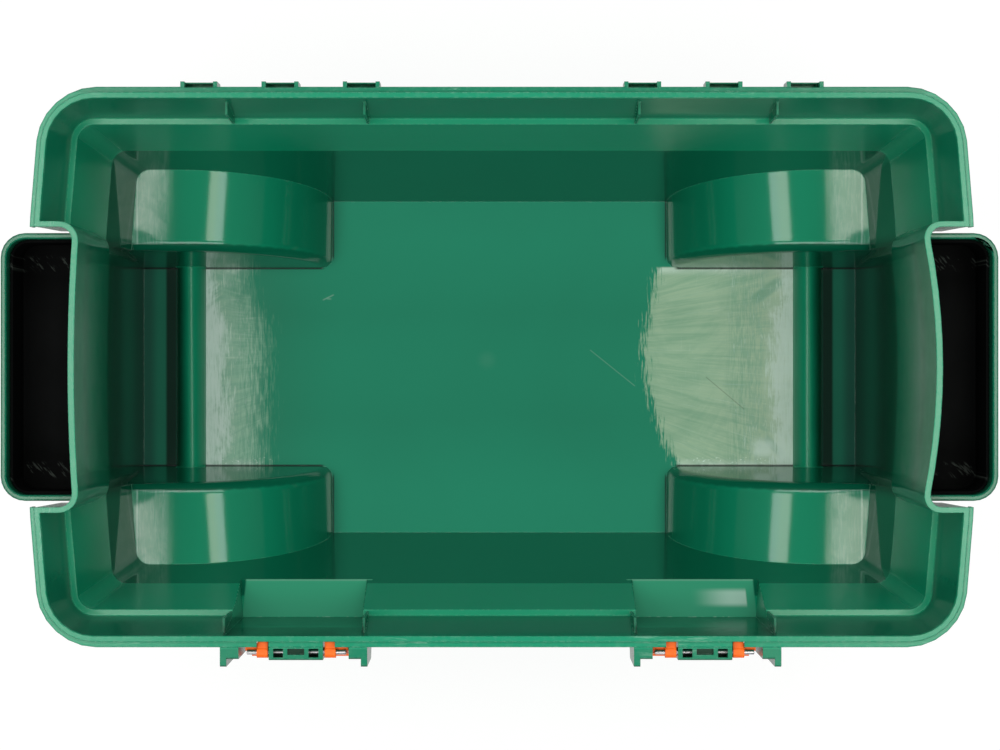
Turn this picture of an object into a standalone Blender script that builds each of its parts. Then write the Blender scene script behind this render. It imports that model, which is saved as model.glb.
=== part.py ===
"""Wheeled storage box: an injection-moulded tub on four wheels, with hinge sockets for a lift-off
lid along its back, two draw latches on its front and a moulded carrying handle at each end.

Metres, +Z up. X runs along the box, the latches face -Y and the hinge sockets face +Y. The ground is
at z = 0, and the origin lies on it under the middle of the whole box. A depth is measured down from
the top of the rim, and a reach is measured outwards from the tub's own middle.
"""

import math

import bmesh
import bpy
from mathutils import Matrix

# General
GAP = 0.0003            # between pieces that seat on each other
OVERRUN = 0.012         # how far a cutter runs past what it cuts
CORNER_STEPS = 6
END_STEPS = 6
MIDDLE_STEPS = 10
ROUND_STEPS = 24
SMALL_STEPS = 20
PIN_STEPS = 12
FLAT_ANGLE = 0.002      # radians between faces that count as one

# Tub: rim, neck, ledge and lower walls
RIM_HALF_LENGTH = 0.3807
RIM_HALF_WIDTH = 0.2250
RIM_CORNER = 0.043
END_BOW = 0.27          # fall of a bowed end, in metres per square metre off the middle
END_SPRING = 0.0036     # how much further the right end's rim is sprung out than the left's
RIM_BAND = 0.0044       # bare top edge of the wall
FLANGE_WIDTH = 0.0046   # along the sides
FLANGE_END_WIDTH = 0.0037
FLANGE_STEP = 0.0016    # the flange lies this much under the band
FLANGE_HEIGHT = 0.013
FLANGE_SKIN = 0.0022
NECK_SIDE_SLOPE = 0.154
NECK_END_SLOPE = 0.1245
LEDGE_DEPTH = 0.065
LEDGE_WIDTH = 0.0048
LEDGE_CORNER = 0.017
SIDE_SLOPE = 0.1437
END_SLOPE = 0.156
FLOOR_CORNER = 0.010
TUB_DEPTH = 0.365
WALL = 0.0035

# Wheels and axles
WHEEL_RADIUS = 0.100
TREAD_WIDTH = 0.048
TYRE_THICKNESS = 0.014
SHOULDER_RISE = 0.45     # of the tyre's thickness, where its side turns in
SHOULDER_DROP = 0.0025   # of the shoulder's middle under the tread
SHOULDER_HALF = 0.0223   # reach of the shoulder's middle
TREAD_HALF = 0.0182      # reach of the flat tread
TREAD_GROOVE = 0.0025
GROOVE_HALF = 0.0018
RIM_THICKNESS = 0.0077
RIM_WIDTH = 0.042
WEB_THICKNESS = 0.004
WEB_OFFSET = 0.005
HUB_RADIUS = 0.016
SPOKES = 6
SPOKE_THICKNESS = 0.003
SPOKE_RECESS = 0.003
AXLE_INSET = 0.0510     # from a middle end wall's foot in to the axle
AXLE_RADIUS = 0.006
AXLE_CHAMFER = 0.001
HUB_PLAY = 0.0017       # between a hub and the arch beside it
HUB_INSET = 0.0625      # from the rim's long edge in to a hub's outer face
HUB_REACH = 0.0265       # from the middle of the tread to the hub's outer face
CAP_RADIUS = 0.013
CAP_LENGTH = 0.0075
CAP_TOP = 0.002
CAP_ROUND = 0.002

# Wheel arches and axle tunnels
ARCH_RADIUS = 0.1345
ARCH_WIDTH = 0.0682      # from a hub's outer face in to the arch's side, at the axle's height
ARCH_DRAFT = 0.077
ARCH_FILLET = 0.011
ARCH_STEPS = 15
FILLET_STEPS = 3
TUNNEL_RADIUS = 0.0137
TUNNEL_WALL = 0.0035
KEEL_DROP = 0.015       # from the axle's middle to the underside of the tunnel's keel
SADDLE_THICKNESS = 0.003
SADDLE_SPACING = 0.045
SADDLE_MOUTH = 0.011    # narrower than the axle, so that it snaps in

# End walls and handles
MIDDLE_INSET = {-1: 0.0377, 1: 0.0347}    # from the rim's end in to a middle wall's outer face, at the top
MIDDLE_FOOT_INSET = 0.0357    # the same, at the floor
MIDDLE_SPRING = {-1: 0.0034, 1: 0.0097}    # how far each wall is sprung out half way along
MIDDLE_WALL = 0.005
BAY_HALF_WIDTH = 0.1055
BAY_TOP_DEPTH = 0.090
POCKET_HALF_WIDTH = 0.1126
POCKET_CORNER = 0.012
POCKET_LEVELS = 3       # under the handle
POCKET_LIP = 0.0044     # wall that wraps round the pocket's ends
LOOP_OUT = 0.0238       # of a handle past the rim's end
LOOP_HALF_WIDTH = 0.1086
LOOP_WALL = 0.0046
LOOP_CORNER = 0.020
LOOP_DROP = 0.020
LOOP_HEIGHT = 0.090
LOOP_ROUND = 0.0012
LINER_DROP = 0.016      # under the loop's top edge
LINER_HEIGHT = 0.045
LINER_WALL = 0.002
LINER_CORNER = 0.006

# Latch housings in the front wall
LATCH_X = 0.166
HOUSING_HALF_WIDTH = 0.0555
HOUSING_CREASE_SIDES = (0.0503, 0.0547)    # of its inner and outer side, at the crease
HOUSING_FOOT_SIDES = (0.0501, 0.0602)      # the same, where its foot meets the wall
HOUSING_INSET = 0.0003
HOUSING_DRAFT = 0.004
HOUSING_CREASE = 0.140
HOUSING_BOTTOM = 0.173
RIB_THICKNESS = 0.002
RIB_TOP = 0.012
HOUSING_RIB_IN = 0.0226
BACK_RIB_LENGTH = 0.0105
BACK_RIB_X = (0.111, 0.2225)
BACK_RIB_FOOT = 0.0043

# Latches
PIN_RADIUS = 0.002
PIN_LENGTH = 0.080
PIN_OUT = 0.0048        # outs and ins are measured from the rim's long edge
PIN_DEPTH = 0.010
LUG_SHIFT = {-1: 0.0024, 1: -0.0008}    # of each lug, with its pin and lever, along the front
LUG_HALF_WIDTH = 0.0223
LUG_OUT = 0.0105
LUG_TOP = 0.0025
LUG_HEIGHT = 0.0205
LUG_EDGE = 0.0012
LUG_WINDOW_X = 0.0142
LUG_WINDOW_LENGTH = 0.0078
LUG_WINDOW_WIDTH = 0.0070
LUG_WINDOW_DEPTH = 0.0165
LUG_RECESS_LENGTH = 0.0135
LUG_RECESS_WIDTH = 0.0048
LUG_RECESS_DEPTH = 0.0035
GUARD_SHIFT = {-1: 0.0006, 1: 0.0012}    # of each pair of guards along the front
GUARD_INNER = 0.0442
GUARD_OUTER = 0.0592
GUARD_PRONG = 0.0052
GUARD_OUT = 0.0158
GUARD_STEP_OUT = 0.0097
GUARD_HEIGHT = 0.072
GUARD_TAPER = 0.014
GUARD_EDGE = 0.0015
LEVER_HALF_WIDTH = 0.0415
LEVER_THICKNESS = 0.0030
LEVER_LENGTH = 0.052
LEVER_LEAN = 0.0064     # how far the plate's foot stands out from its head
LEVER_LIP = 0.0072
LEVER_LIP_DROP = 0.0048  # of the lip's edge under the plate's foot
LEVER_LIP_EDGE = 0.0018  # the same, for the lip's upper face
LEVER_BEND = 0.0027      # from the foot to where the lip's upper face starts
LEVER_TOP = 0.0009       # of the plate's head under the pin
LEVER_RIB = 0.0020
LEVER_RIB_HEIGHT = 0.0022
LEVER_PLAY = 0.0008     # between the plate's head and the flange
LUG_SWING = 0.0015      # room that the lever's window leaves round the lug
KNUCKLE_RADIUS = 0.0046
KNUCKLE_LENGTH = 0.0090
KNUCKLE_PLAY = 0.0005
ARM_WIDTH = 0.0085
ARM_IN = 0.0038
ARM_HEIGHT = 0.0070
FLANGE_NOTCH = 0.0096
NOTCH_IN = 0.0047

# Hinge sockets
SOCKET_X = (0.113, 0.1783, 0.2435)
SOCKET_SHIFT = 0.0020   # the whole row lies this much to the right
SOCKET_HALF_WIDTH = 0.0148
SOCKET_OUT = 0.0043
SOCKET_TOP = 0.0020
SOCKET_HEIGHT = 0.030
SOCKET_TAPER = 0.008
SLOT_HALF_WIDTH = 0.0115
SLOT_IN = 0.0007
SLOT_WALL = 0.0011      # the low wall behind a slot
SLOT_WALL_DEPTH = 0.010
SLOT_DEPTH = 0.020

# Places worked out from the sizes above
PIN_REACH = RIM_HALF_WIDTH + PIN_OUT
LUG_REACH = RIM_HALF_WIDTH + LUG_OUT
GUARD_REACH = RIM_HALF_WIDTH + GUARD_OUT
GUARD_STEP_REACH = RIM_HALF_WIDTH + GUARD_STEP_OUT
ARM_REACH = RIM_HALF_WIDTH - ARM_IN
NOTCH_FLOOR = RIM_HALF_WIDTH - NOTCH_IN
SOCKET_REACH = RIM_HALF_WIDTH + SOCKET_OUT
SLOT_INNER = RIM_HALF_WIDTH - SLOT_IN
HOUSING_RIB_REACH = RIM_HALF_WIDTH - HOUSING_RIB_IN
FLOOR_Z = WHEEL_RADIUS
RIM_Z = FLOOR_Z + TUB_DEPTH
RIM_WIDE = RIM_BAND + FLANGE_WIDTH
NECK_LENGTH = RIM_HALF_LENGTH - RIM_BAND - FLANGE_END_WIDTH
NECK_WIDTH = RIM_HALF_WIDTH - RIM_WIDE
MIDDLE_X = {side: RIM_HALF_LENGTH - inset for side, inset in MIDDLE_INSET.items()}
MIDDLE_FOOT_X = RIM_HALF_LENGTH - MIDDLE_FOOT_INSET
LOOP_X = RIM_HALF_LENGTH + LOOP_OUT
AXLE_X = MIDDLE_FOOT_X - AXLE_INSET
HUB_OUTER = RIM_HALF_WIDTH - HUB_INSET
ARCH_SIDE = HUB_OUTER - ARCH_WIDTH
WHEEL_Y = HUB_OUTER - HUB_REACH
HUB_INNER = ARCH_SIDE + WALL + HUB_PLAY
BORE_RADIUS = AXLE_RADIUS + GAP
AXLE_HALF_LENGTH = HUB_OUTER + CAP_LENGTH - CAP_TOP
MIDDLE_Y = (GUARD_REACH - SOCKET_REACH) / 2

GREEN = ("tub_green", (0.020, 0.215, 0.118), 0.32, 0.0)
BLACK = ("liner_black", (0.012, 0.013, 0.014), 0.45, 0.0)
WHEEL_BLACK = ("wheel_black", (0.020, 0.021, 0.022), 0.50, 0.0)
RUBBER = ("tyre_rubber", (0.028, 0.028, 0.029), 0.80, 0.0)
ORANGE = ("latch_orange", (0.900, 0.110, 0.010), 0.35, 0.0)
STEEL = ("bright_steel", (0.560, 0.560, 0.570), 0.28, 1.0)


def clear_scene():
    for obj in list(bpy.data.objects):
        bpy.data.objects.remove(obj, do_unlink=True)


def height(depth):
    """The z of a depth under the rim."""
    return RIM_Z - depth


def paint(obj, finish):
    name, colour, roughness, metallic = finish
    material = bpy.data.materials.get(name)
    if material is None:
        material = bpy.data.materials.new(name)
        material.use_nodes = True
        shader = material.node_tree.nodes["Principled BSDF"]
        shader.inputs["Base Color"].default_value = (*colour, 1.0)
        shader.inputs["Roughness"].default_value = roughness
        shader.inputs["Metallic"].default_value = metallic
    obj.data.materials.clear()
    obj.data.materials.append(material)
    obj.data.shade_smooth()
    obj.data.set_sharp_from_angle(angle=math.radians(32))


def make_object(name, bm):
    """An object from a closed bmesh, in triangles that face outwards."""
    bmesh.ops.triangulate(bm, faces=bm.faces)
    bmesh.ops.recalc_face_normals(bm, faces=bm.faces)
    mesh = bpy.data.meshes.new(name)
    bm.to_mesh(mesh)
    bm.free()
    obj = bpy.data.objects.new(name, mesh)
    bpy.context.scene.collection.objects.link(obj)
    return obj


def loft(name, rings, closed=False):
    """Skins rings of equally many points. Open lofts get a cap at each end."""
    bm = bmesh.new()
    rows = [[bm.verts.new(point) for point in ring] for ring in rings]
    count = len(rows[0])
    pairs = list(zip(rows, rows[1:]))
    if closed:
        pairs.append((rows[-1], rows[0]))
    for low, high in pairs:
        for k in range(count):
            nxt = (k + 1) % count
            bm.faces.new((low[k], low[nxt], high[nxt], high[k]))
    if not closed:
        bm.faces.new(rows[0])
        bm.faces.new(rows[-1])
    return make_object(name, bm)


def block(name, x_range, y_range, z_range):
    corners = []
    for z in z_range:
        corners.append([
            (x_range[0], y_range[0], z),
            (x_range[1], y_range[0], z),
            (x_range[1], y_range[1], z),
            (x_range[0], y_range[1], z),
        ])
    return loft(name, corners)


def plate(name, profile, x_range):
    """A flat profile of (y, z) points, run along X."""
    return loft(name, [[(x, y, z) for y, z in profile] for x in x_range])


def cylinder_along(name, axis, radius, low, high, centre=(0.0, 0.0), steps=SMALL_STEPS):
    """A round bar along X or Y. The centre is given as (y, z) or (x, z)."""
    rings = []
    for at in (low, high):
        ring = []
        for k in range(steps):
            turn = math.tau * (k + 0.5) / steps
            first = centre[0] + radius * math.cos(turn)
            second = centre[1] + radius * math.sin(turn)
            ring.append((at, first, second) if axis == "X" else (first, at, second))
        rings.append(ring)
    return loft(name, rings)


def turned_solid(name, stations, steps=SMALL_STEPS, axis="Y"):
    """A turned piece round the origin, from (radius, place along the axis) stations."""
    rings = []
    for radius, along in stations:
        ring = []
        for k in range(steps):
            turn = math.tau * (k + 0.5) / steps
            first = radius * math.cos(turn)
            second = radius * math.sin(turn)
            ring.append((along, first, second) if axis == "X" else (first, along, second))
        rings.append(ring)
    return loft(name, rings)


def turned_ring(name, profile, steps=ROUND_STEPS):
    """A turned ring round the Y axis, from a closed profile of (radius, y) points.

    Its flats touch the stated radii, and one of them is at the bottom.
    """
    out = 1 / math.cos(math.pi / steps)
    rings = []
    for k in range(steps):
        turn = math.tau * (k + 0.5) / steps
        first = out * math.cos(turn)
        second = out * math.sin(turn)
        rings.append([(radius * first, y, radius * second) for radius, y in profile])
    return loft(name, rings, closed=True)


def merged(objects):
    """Puts separate closed shapes that don't touch into one object."""
    bm = bmesh.new()
    for obj in objects:
        obj.data.transform(obj.matrix_basis)
        bm.from_mesh(obj.data)
    name = objects[0].name
    for obj in objects:
        bpy.data.objects.remove(obj, do_unlink=True)
    return make_object(name, bm)


def combine(target, tools, operation):
    """Applies one exact Boolean to the target with all the tools, and removes them."""
    tool = merged(tools)
    tool.display_type = "WIRE"
    tool.hide_render = True
    modifier = target.modifiers.new(operation.title(), "BOOLEAN")
    modifier.operation = operation
    modifier.solver = "EXACT"
    modifier.object = tool
    graph = bpy.context.evaluated_depsgraph_get()
    result = bpy.data.meshes.new_from_object(target.evaluated_get(graph))
    target.modifiers.clear()
    old = target.data
    target.data = result
    bpy.data.meshes.remove(old)
    bpy.data.objects.remove(tool, do_unlink=True)
    bm = bmesh.new()
    bm.from_mesh(result)
    bmesh.ops.dissolve_limit(bm, angle_limit=FLAT_ANGLE, verts=bm.verts, edges=bm.edges)
    bmesh.ops.triangulate(bm, faces=bm.faces)
    bm.to_mesh(result)
    bm.free()


def tub_ring(half_length, half_width, radius, depth, grow=0.0):
    """One level of the tub: a rounded rectangle whose short ends bow outwards."""
    half_length += grow
    half_width += grow
    radius += grow
    points = []
    for quarter in range(4):
        side_x = 1 if quarter in (0, 3) else -1
        side_y = 1 if quarter in (0, 1) else -1
        for step in range(CORNER_STEPS + 1):
            turn = math.radians(90 * (quarter + step / CORNER_STEPS))
            x = side_x * (half_length - radius) + radius * math.cos(turn)
            y = side_y * (half_width - radius) + radius * math.sin(turn)
            points.append((x, y))
        if quarter in (1, 3):
            for step in range(1, END_STEPS):
                share = 1 - 2 * step / END_STEPS
                points.append((side_x * half_length, side_y * (half_width - radius) * share))
    spring = END_SPRING * (1 - depth / (2 * TUB_DEPTH))
    ring = []
    for x, y in points:
        bowed = x - math.copysign(END_BOW * y * y, x)
        ring.append((bowed + (spring if x > 0 else 0.0), y, height(depth)))
    return ring


def neck_ring(depth, grow=0.0):
    """The inside of the neck, from the rim down to the ledge."""
    share = depth / LEDGE_DEPTH
    radius = RIM_CORNER - RIM_WIDE
    radius += (LEDGE_CORNER - radius) * share
    return tub_ring(
        NECK_LENGTH - NECK_END_SLOPE * depth,
        NECK_WIDTH - NECK_SIDE_SLOPE * depth,
        radius,
        depth,
        grow,
    )


def lower_ring(depth, grow=0.0):
    """The inside of the tub under the ledge."""
    fall = depth - LEDGE_DEPTH
    share = fall / (TUB_DEPTH - LEDGE_DEPTH)
    radius = LEDGE_CORNER - LEDGE_WIDTH
    radius += (FLOOR_CORNER - radius) * share
    return tub_ring(
        NECK_LENGTH - NECK_END_SLOPE * LEDGE_DEPTH - LEDGE_WIDTH - END_SLOPE * fall,
        NECK_WIDTH - NECK_SIDE_SLOPE * LEDGE_DEPTH - LEDGE_WIDTH - SIDE_SLOPE * fall,
        radius,
        depth,
        grow,
    )


def inside_half_width(depth):
    """Reach of the plain long wall's inner face under the ledge."""
    neck = NECK_WIDTH - NECK_SIDE_SLOPE * LEDGE_DEPTH - LEDGE_WIDTH
    return neck - SIDE_SLOPE * (depth - LEDGE_DEPTH)


def arch(name, side_x, side_y, inset):
    """A wheel arch: a quarter round that runs on flat to the end, with a filleted side."""
    radius = ARCH_RADIUS - inset
    fillet = ARCH_FILLET - inset
    side = ARCH_SIDE + inset
    below = -(KEEL_DROP + OVERRUN)
    far_x = LOOP_X + OVERRUN - AXLE_X
    far_y = RIM_HALF_WIDTH + OVERRUN

    def ring(pull, y):
        points = [(-(radius - pull), below)]
        for step in range(ARCH_STEPS + 1):
            turn = math.radians(180 - 90 * step / ARCH_STEPS)
            points.append(((radius - pull) * math.cos(turn), (radius - pull) * math.sin(turn)))
        points.append((far_x, radius - pull))
        points.append((far_x, below))
        return [
            (side_x * (AXLE_X + x), side_y * (y + ARCH_DRAFT * z), FLOOR_Z + z) for x, z in points
        ]

    rings = [ring(0.0, far_y)]
    for step in range(FILLET_STEPS + 1):
        turn = math.radians(90 * step / FILLET_STEPS)
        rings.append(ring(fillet * (1 - math.cos(turn)), side + fillet * (1 - math.sin(turn))))
    return loft(name, rings)


def middle_wall(side_x, depth):
    """Where a middle end wall's outer face lies half way along, and how it bows back from there."""
    share = depth / TUB_DEPTH
    spring = MIDDLE_SPRING[side_x] * (1 - share)
    bow = spring / (POCKET_HALF_WIDTH - POCKET_CORNER)**2
    at_rim = MIDDLE_X[side_x]
    return at_rim + (MIDDLE_FOOT_X - at_rim) * share + spring, bow


def pocket(name, side_x, grow):
    """The open space outside a middle end wall, from above the rim to below the floor."""
    far = LOOP_X + 2 * OVERRUN
    liner_top = LOOP_DROP + LINER_DROP
    loop_bottom = LOOP_DROP + LOOP_HEIGHT
    low = TUB_DEPTH + WALL + OVERRUN
    levels = [-OVERRUN, liner_top, liner_top + LINER_HEIGHT, loop_bottom]
    for step in range(1, POCKET_LEVELS + 1):
        levels.append(loop_bottom + (low - loop_bottom) * step / POCKET_LEVELS)
    rings = []
    for depth in levels:
        x_wall, bow = middle_wall(side_x, depth)
        x_wall -= grow
        half = POCKET_HALF_WIDTH + (POCKET_LIP if grow else 0.0)
        radius = POCKET_CORNER + grow
        points = []
        for side_y, first in ((1, 90), (-1, 180)):
            for step in range(CORNER_STEPS + 1):
                turn = math.radians(first + 90 * step / CORNER_STEPS)
                x = x_wall + radius + radius * math.cos(turn)
                y = side_y * (half - radius) + radius * math.sin(turn)
                points.append((x - bow * y * y, y))
            if side_y == 1:
                for step in range(1, MIDDLE_STEPS):
                    y = (half - radius) * (1 - 2 * step / MIDDLE_STEPS)
                    points.append((x_wall - bow * y * y, y))
        ring = [(far, half)] + points + [(far, -half)]
        rings.append([(side_x * x, y, height(depth)) for x, y in ring])
    return loft(name, rings)


def loop_outline(grow, x_start):
    """The outside of a handle loop, or of what fits in it, as a U open towards the tub."""
    half = LOOP_HALF_WIDTH + grow
    radius = LOOP_CORNER + grow
    x_far = LOOP_X + grow
    points = [(x_start, -half)]
    for side_y, first in ((-1, -90), (1, 0)):
        for step in range(CORNER_STEPS + 1):
            turn = math.radians(first + 90 * step / CORNER_STEPS)
            points.append((
                x_far - radius + radius * math.cos(turn),
                side_y * (half - radius) + radius * math.sin(turn),
            ))
    points.append((x_start, half))
    return points


def handle_loop(side_x):
    """A handle's wall: three sides of a rounded box, open above and below."""
    root = MIDDLE_X[side_x] - MIDDLE_WALL - RIB_THICKNESS
    top = LOOP_DROP
    bottom = LOOP_DROP + LOOP_HEIGHT
    rings = []
    for depth, inset in (
        (top, LOOP_ROUND),
        (top + LOOP_ROUND, 0.0),
        (bottom - LOOP_ROUND, 0.0),
        (bottom, LOOP_ROUND),
    ):
        outer = loop_outline(-inset, root)
        inner = loop_outline(inset - LOOP_WALL, root)
        rings.append([(side_x * x, y, height(depth)) for x, y in outer + inner[::-1]])
    return loft("handle_loop", rings)


def liner_ring(side_x, depth, inset):
    """One level of a pocket liner, which follows the loop and the bowed wall behind it."""
    grow = -(LOOP_WALL + GAP + inset)
    half = LOOP_HALF_WIDTH + grow
    x_wall, bow = middle_wall(side_x, depth)
    x_wall += GAP + inset
    radius = LINER_CORNER - inset
    points = loop_outline(grow, 0.0)[1:-1]
    for side_y, first in ((1, 90), (-1, 180)):
        for step in range(CORNER_STEPS + 1):
            turn = math.radians(first + 90 * step / CORNER_STEPS)
            y = side_y * (half - radius) + radius * math.sin(turn)
            points.append((x_wall + radius + radius * math.cos(turn) - bow * y * y, y))
        if side_y == 1:
            for step in range(1, MIDDLE_STEPS):
                y = (half - radius) * (1 - 2 * step / MIDDLE_STEPS)
                points.append((x_wall - bow * y * y, y))
    return [(side_x * x, y, height(depth)) for x, y in points]


def housing(name, side_x, inset):
    """A latch housing: the front wall brought out to the rim, with a sloping foot."""
    face = NECK_WIDTH - HOUSING_INSET + inset
    crease = face - HOUSING_DRAFT * HOUSING_CREASE
    foot = inside_half_width(HOUSING_BOTTOM)
    inner = foot - OVERRUN
    top = FLANGE_STEP + FLANGE_SKIN / 2 if inset else -OVERRUN
    past = OVERRUN / (crease - foot)
    low = HOUSING_BOTTOM + inset + (HOUSING_BOTTOM - HOUSING_CREASE) * past
    profile = [
        (-inner, height(top)),
        (-face, height(top)),
        (-crease, height(HOUSING_CREASE + inset)),
        (-inner, height(low)),
    ]
    sides = []
    for side, at_crease, at_foot in zip((-1, 1), HOUSING_CREASE_SIDES, HOUSING_FOOT_SIDES):
        reaches = [HOUSING_HALF_WIDTH, HOUSING_HALF_WIDTH, at_crease]
        reaches.append(at_foot + (at_foot - at_crease) * past)
        ring = []
        for reach, (y, z) in zip(reaches, profile):
            ring.append((side_x * (LATCH_X + side * (reach + inset)), y, z))
        sides.append(ring)
    return loft(name, sides)


def housing_rib(side_x, side):
    """The side of a housing, which stands up past the ledge as a thin rib."""
    edge = side_x * LATCH_X + side * HOUSING_HALF_WIDTH
    profile = [
        (-HOUSING_RIB_REACH, height(RIB_TOP)),
        (-NECK_WIDTH - RIM_BAND / 2, height(RIB_TOP)),
        (-NECK_WIDTH - RIM_BAND / 2, height(LEDGE_DEPTH + WALL)),
        (-HOUSING_RIB_REACH, height(LEDGE_DEPTH + WALL)),
    ]
    return plate("housing_rib", profile, (edge, edge + side * RIB_THICKNESS))


def back_rib(x):
    """A small gusset between the neck and the ledge of the back wall."""
    wall = NECK_WIDTH - NECK_SIDE_SLOPE * RIB_TOP
    ledge = NECK_WIDTH - NECK_SIDE_SLOPE * LEDGE_DEPTH
    profile = [
        (wall + RIM_BAND / 2, height(RIB_TOP)),
        (wall - BACK_RIB_LENGTH, height(RIB_TOP)),
        (ledge - BACK_RIB_FOOT, height(LEDGE_DEPTH - RIB_THICKNESS)),
        (ledge - BACK_RIB_FOOT, height(LEDGE_DEPTH + WALL / 2)),
        (wall + RIM_BAND / 2, height(LEDGE_DEPTH + WALL / 2)),
    ]
    return plate("back_rib", profile, (x - RIB_THICKNESS / 2, x + RIB_THICKNESS / 2))


def flange():
    """The rim's outer flange, turned down at its edge."""
    skin = FLANGE_STEP + FLANGE_SKIN
    low = FLANGE_STEP + FLANGE_HEIGHT
    sections = (
        (FLANGE_STEP, -FLANGE_WIDTH - RIM_BAND / 2),
        (FLANGE_STEP, -FLANGE_SKIN / 4),
        (FLANGE_STEP + FLANGE_SKIN / 4, 0.0),
        (low, 0.0),
        (low, -FLANGE_SKIN),
        (skin, -FLANGE_SKIN),
        (skin, -FLANGE_WIDTH - RIM_BAND / 2),
    )
    rings = [
        tub_ring(RIM_HALF_LENGTH, RIM_HALF_WIDTH, RIM_CORNER, depth, grow)
        for depth, grow in sections
    ]
    return loft("flange", rings, closed=True)


def tub_shell():
    """The outside of the tub as one solid, before it is hollowed."""
    under_ledge = LEDGE_DEPTH + WALL
    shell = loft("tub", [
        lower_ring(TUB_DEPTH + WALL, WALL + SIDE_SLOPE * WALL),
        lower_ring(under_ledge, WALL),
        neck_ring(under_ledge, WALL),
        neck_ring(FLANGE_STEP + FLANGE_HEIGHT, WALL),
        neck_ring(FLANGE_STEP, RIM_BAND),
        neck_ring(0.0, RIM_BAND),
    ])
    combine(shell, [flange()], "UNION")
    bays = [
        block(
            "bay",
            sorted((side_x * AXLE_X, side_x * (MIDDLE_FOOT_X + MIDDLE_SPRING[side_x] + OVERRUN))),
            (-BAY_HALF_WIDTH - WALL, BAY_HALF_WIDTH + WALL),
            (height(TUB_DEPTH + WALL), height(BAY_TOP_DEPTH)),
        )
        for side_x in (-1, 1)
    ]
    combine(shell, bays, "UNION")
    combine(shell, [housing("housing", side_x, WALL) for side_x in (-1, 1)], "UNION")
    combine(shell, [pocket("pocket", side_x, 0.0) for side_x in (-1, 1)], "DIFFERENCE")
    combine(shell, [handle_loop(side_x) for side_x in (-1, 1)], "UNION")
    return shell


def add_keels(shell):
    """Thickens the floor under each axle tunnel."""
    keels = [
        block(
            "keel",
            (side_x * AXLE_X - TUNNEL_RADIUS, side_x * AXLE_X + TUNNEL_RADIUS),
            (-ARCH_SIDE - 2 * WALL, ARCH_SIDE + 2 * WALL),
            (FLOOR_Z - KEEL_DROP, FLOOR_Z),
        )
        for side_x in (-1, 1)
    ]
    combine(shell, keels, "UNION")


def cut_wheel_wells(shell):
    wells = [arch("well", side_x, side_y, WALL) for side_x in (-1, 1) for side_y in (-1, 1)]
    combine(shell, wells, "DIFFERENCE")


def groove(x_middle, half, y_range):
    """A slot open downwards with a half-round top, run along Y."""
    points = [(-half, -KEEL_DROP - OVERRUN)]
    for step in range(SMALL_STEPS // 2 + 1):
        turn = math.pi * (1 - 2 * step / SMALL_STEPS)
        points.append((half * math.cos(turn), half * math.sin(turn)))
    points.append((half, -KEEL_DROP - OVERRUN))
    rings = [[(x_middle + x, y, FLOOR_Z + z) for x, z in points] for y in y_range]
    return loft("groove", rings)


def cut_axle_grooves(shell):
    """Grooves for the axles, with saddles left standing across them to snap over the axle."""
    half = TUNNEL_RADIUS - TUNNEL_WALL
    web = SADDLE_THICKNESS / 2
    last = ARCH_SIDE + WALL - SADDLE_THICKNESS
    spans = ((web, SADDLE_SPACING - web), (SADDLE_SPACING + web, last))
    reach = ARCH_SIDE + WALL + OVERRUN
    for side_x in (-1, 1):
        x = side_x * AXLE_X
        grooves = []
        for side_y in (-1, 1):
            for near, far in spans:
                grooves.append(groove(x, half, (side_y * near, side_y * far)))
        combine(shell, grooves, "DIFFERENCE")
        seat = cylinder_along("seat", "Y", BORE_RADIUS, -reach, reach, (x, FLOOR_Z))
        combine(shell, [seat], "DIFFERENCE")
        mouth = block(
            "mouth",
            (x - SADDLE_MOUTH / 2, x + SADDLE_MOUTH / 2),
            (-reach, reach),
            (FLOOR_Z - KEEL_DROP - OVERRUN, FLOOR_Z),
        )
        combine(shell, [mouth], "DIFFERENCE")


def add_latch_lug(shell, x):
    """The lug that carries a latch pin, with two windows and a shallow recess in its top."""
    root = NECK_WIDTH + WALL / 2
    profile = [
        (-root, height(LUG_TOP)),
        (-LUG_REACH + LUG_EDGE, height(LUG_TOP)),
        (-LUG_REACH, height(LUG_TOP + LUG_EDGE)),
        (-LUG_REACH, height(LUG_TOP + LUG_HEIGHT - LUG_EDGE)),
        (-LUG_REACH + LUG_EDGE, height(LUG_TOP + LUG_HEIGHT)),
        (-root, height(LUG_TOP + LUG_HEIGHT)),
    ]
    combine(shell, [plate("lug", profile, (x - LUG_HALF_WIDTH, x + LUG_HALF_WIDTH))], "UNION")
    bore = cylinder_along(
        "bore",
        "X",
        PIN_RADIUS + GAP,
        x - LUG_HALF_WIDTH - KNUCKLE_PLAY,
        x + LUG_HALF_WIDTH + KNUCKLE_PLAY,
        (-PIN_REACH, height(PIN_DEPTH)),
        steps=PIN_STEPS,
    )
    combine(shell, [bore], "DIFFERENCE")
    windows = []
    for side in (-1, 1):
        middle = x + side * LUG_WINDOW_X
        windows.append(block(
            "window",
            (middle - LUG_WINDOW_LENGTH / 2, middle + LUG_WINDOW_LENGTH / 2),
            (-PIN_REACH - LUG_WINDOW_WIDTH / 2, -PIN_REACH + LUG_WINDOW_WIDTH / 2),
            (height(LUG_WINDOW_DEPTH), height(LUG_TOP - OVERRUN)),
        ))
    combine(shell, windows, "DIFFERENCE")
    inner = PIN_REACH - LUG_WINDOW_WIDTH / 2
    recess = block(
        "recess",
        (x - LUG_RECESS_LENGTH / 2, x + LUG_RECESS_LENGTH / 2),
        (-inner - LUG_RECESS_WIDTH, -inner),
        (height(LUG_TOP + LUG_RECESS_DEPTH), height(LUG_TOP - OVERRUN)),
    )
    combine(shell, [recess], "DIFFERENCE")


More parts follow.
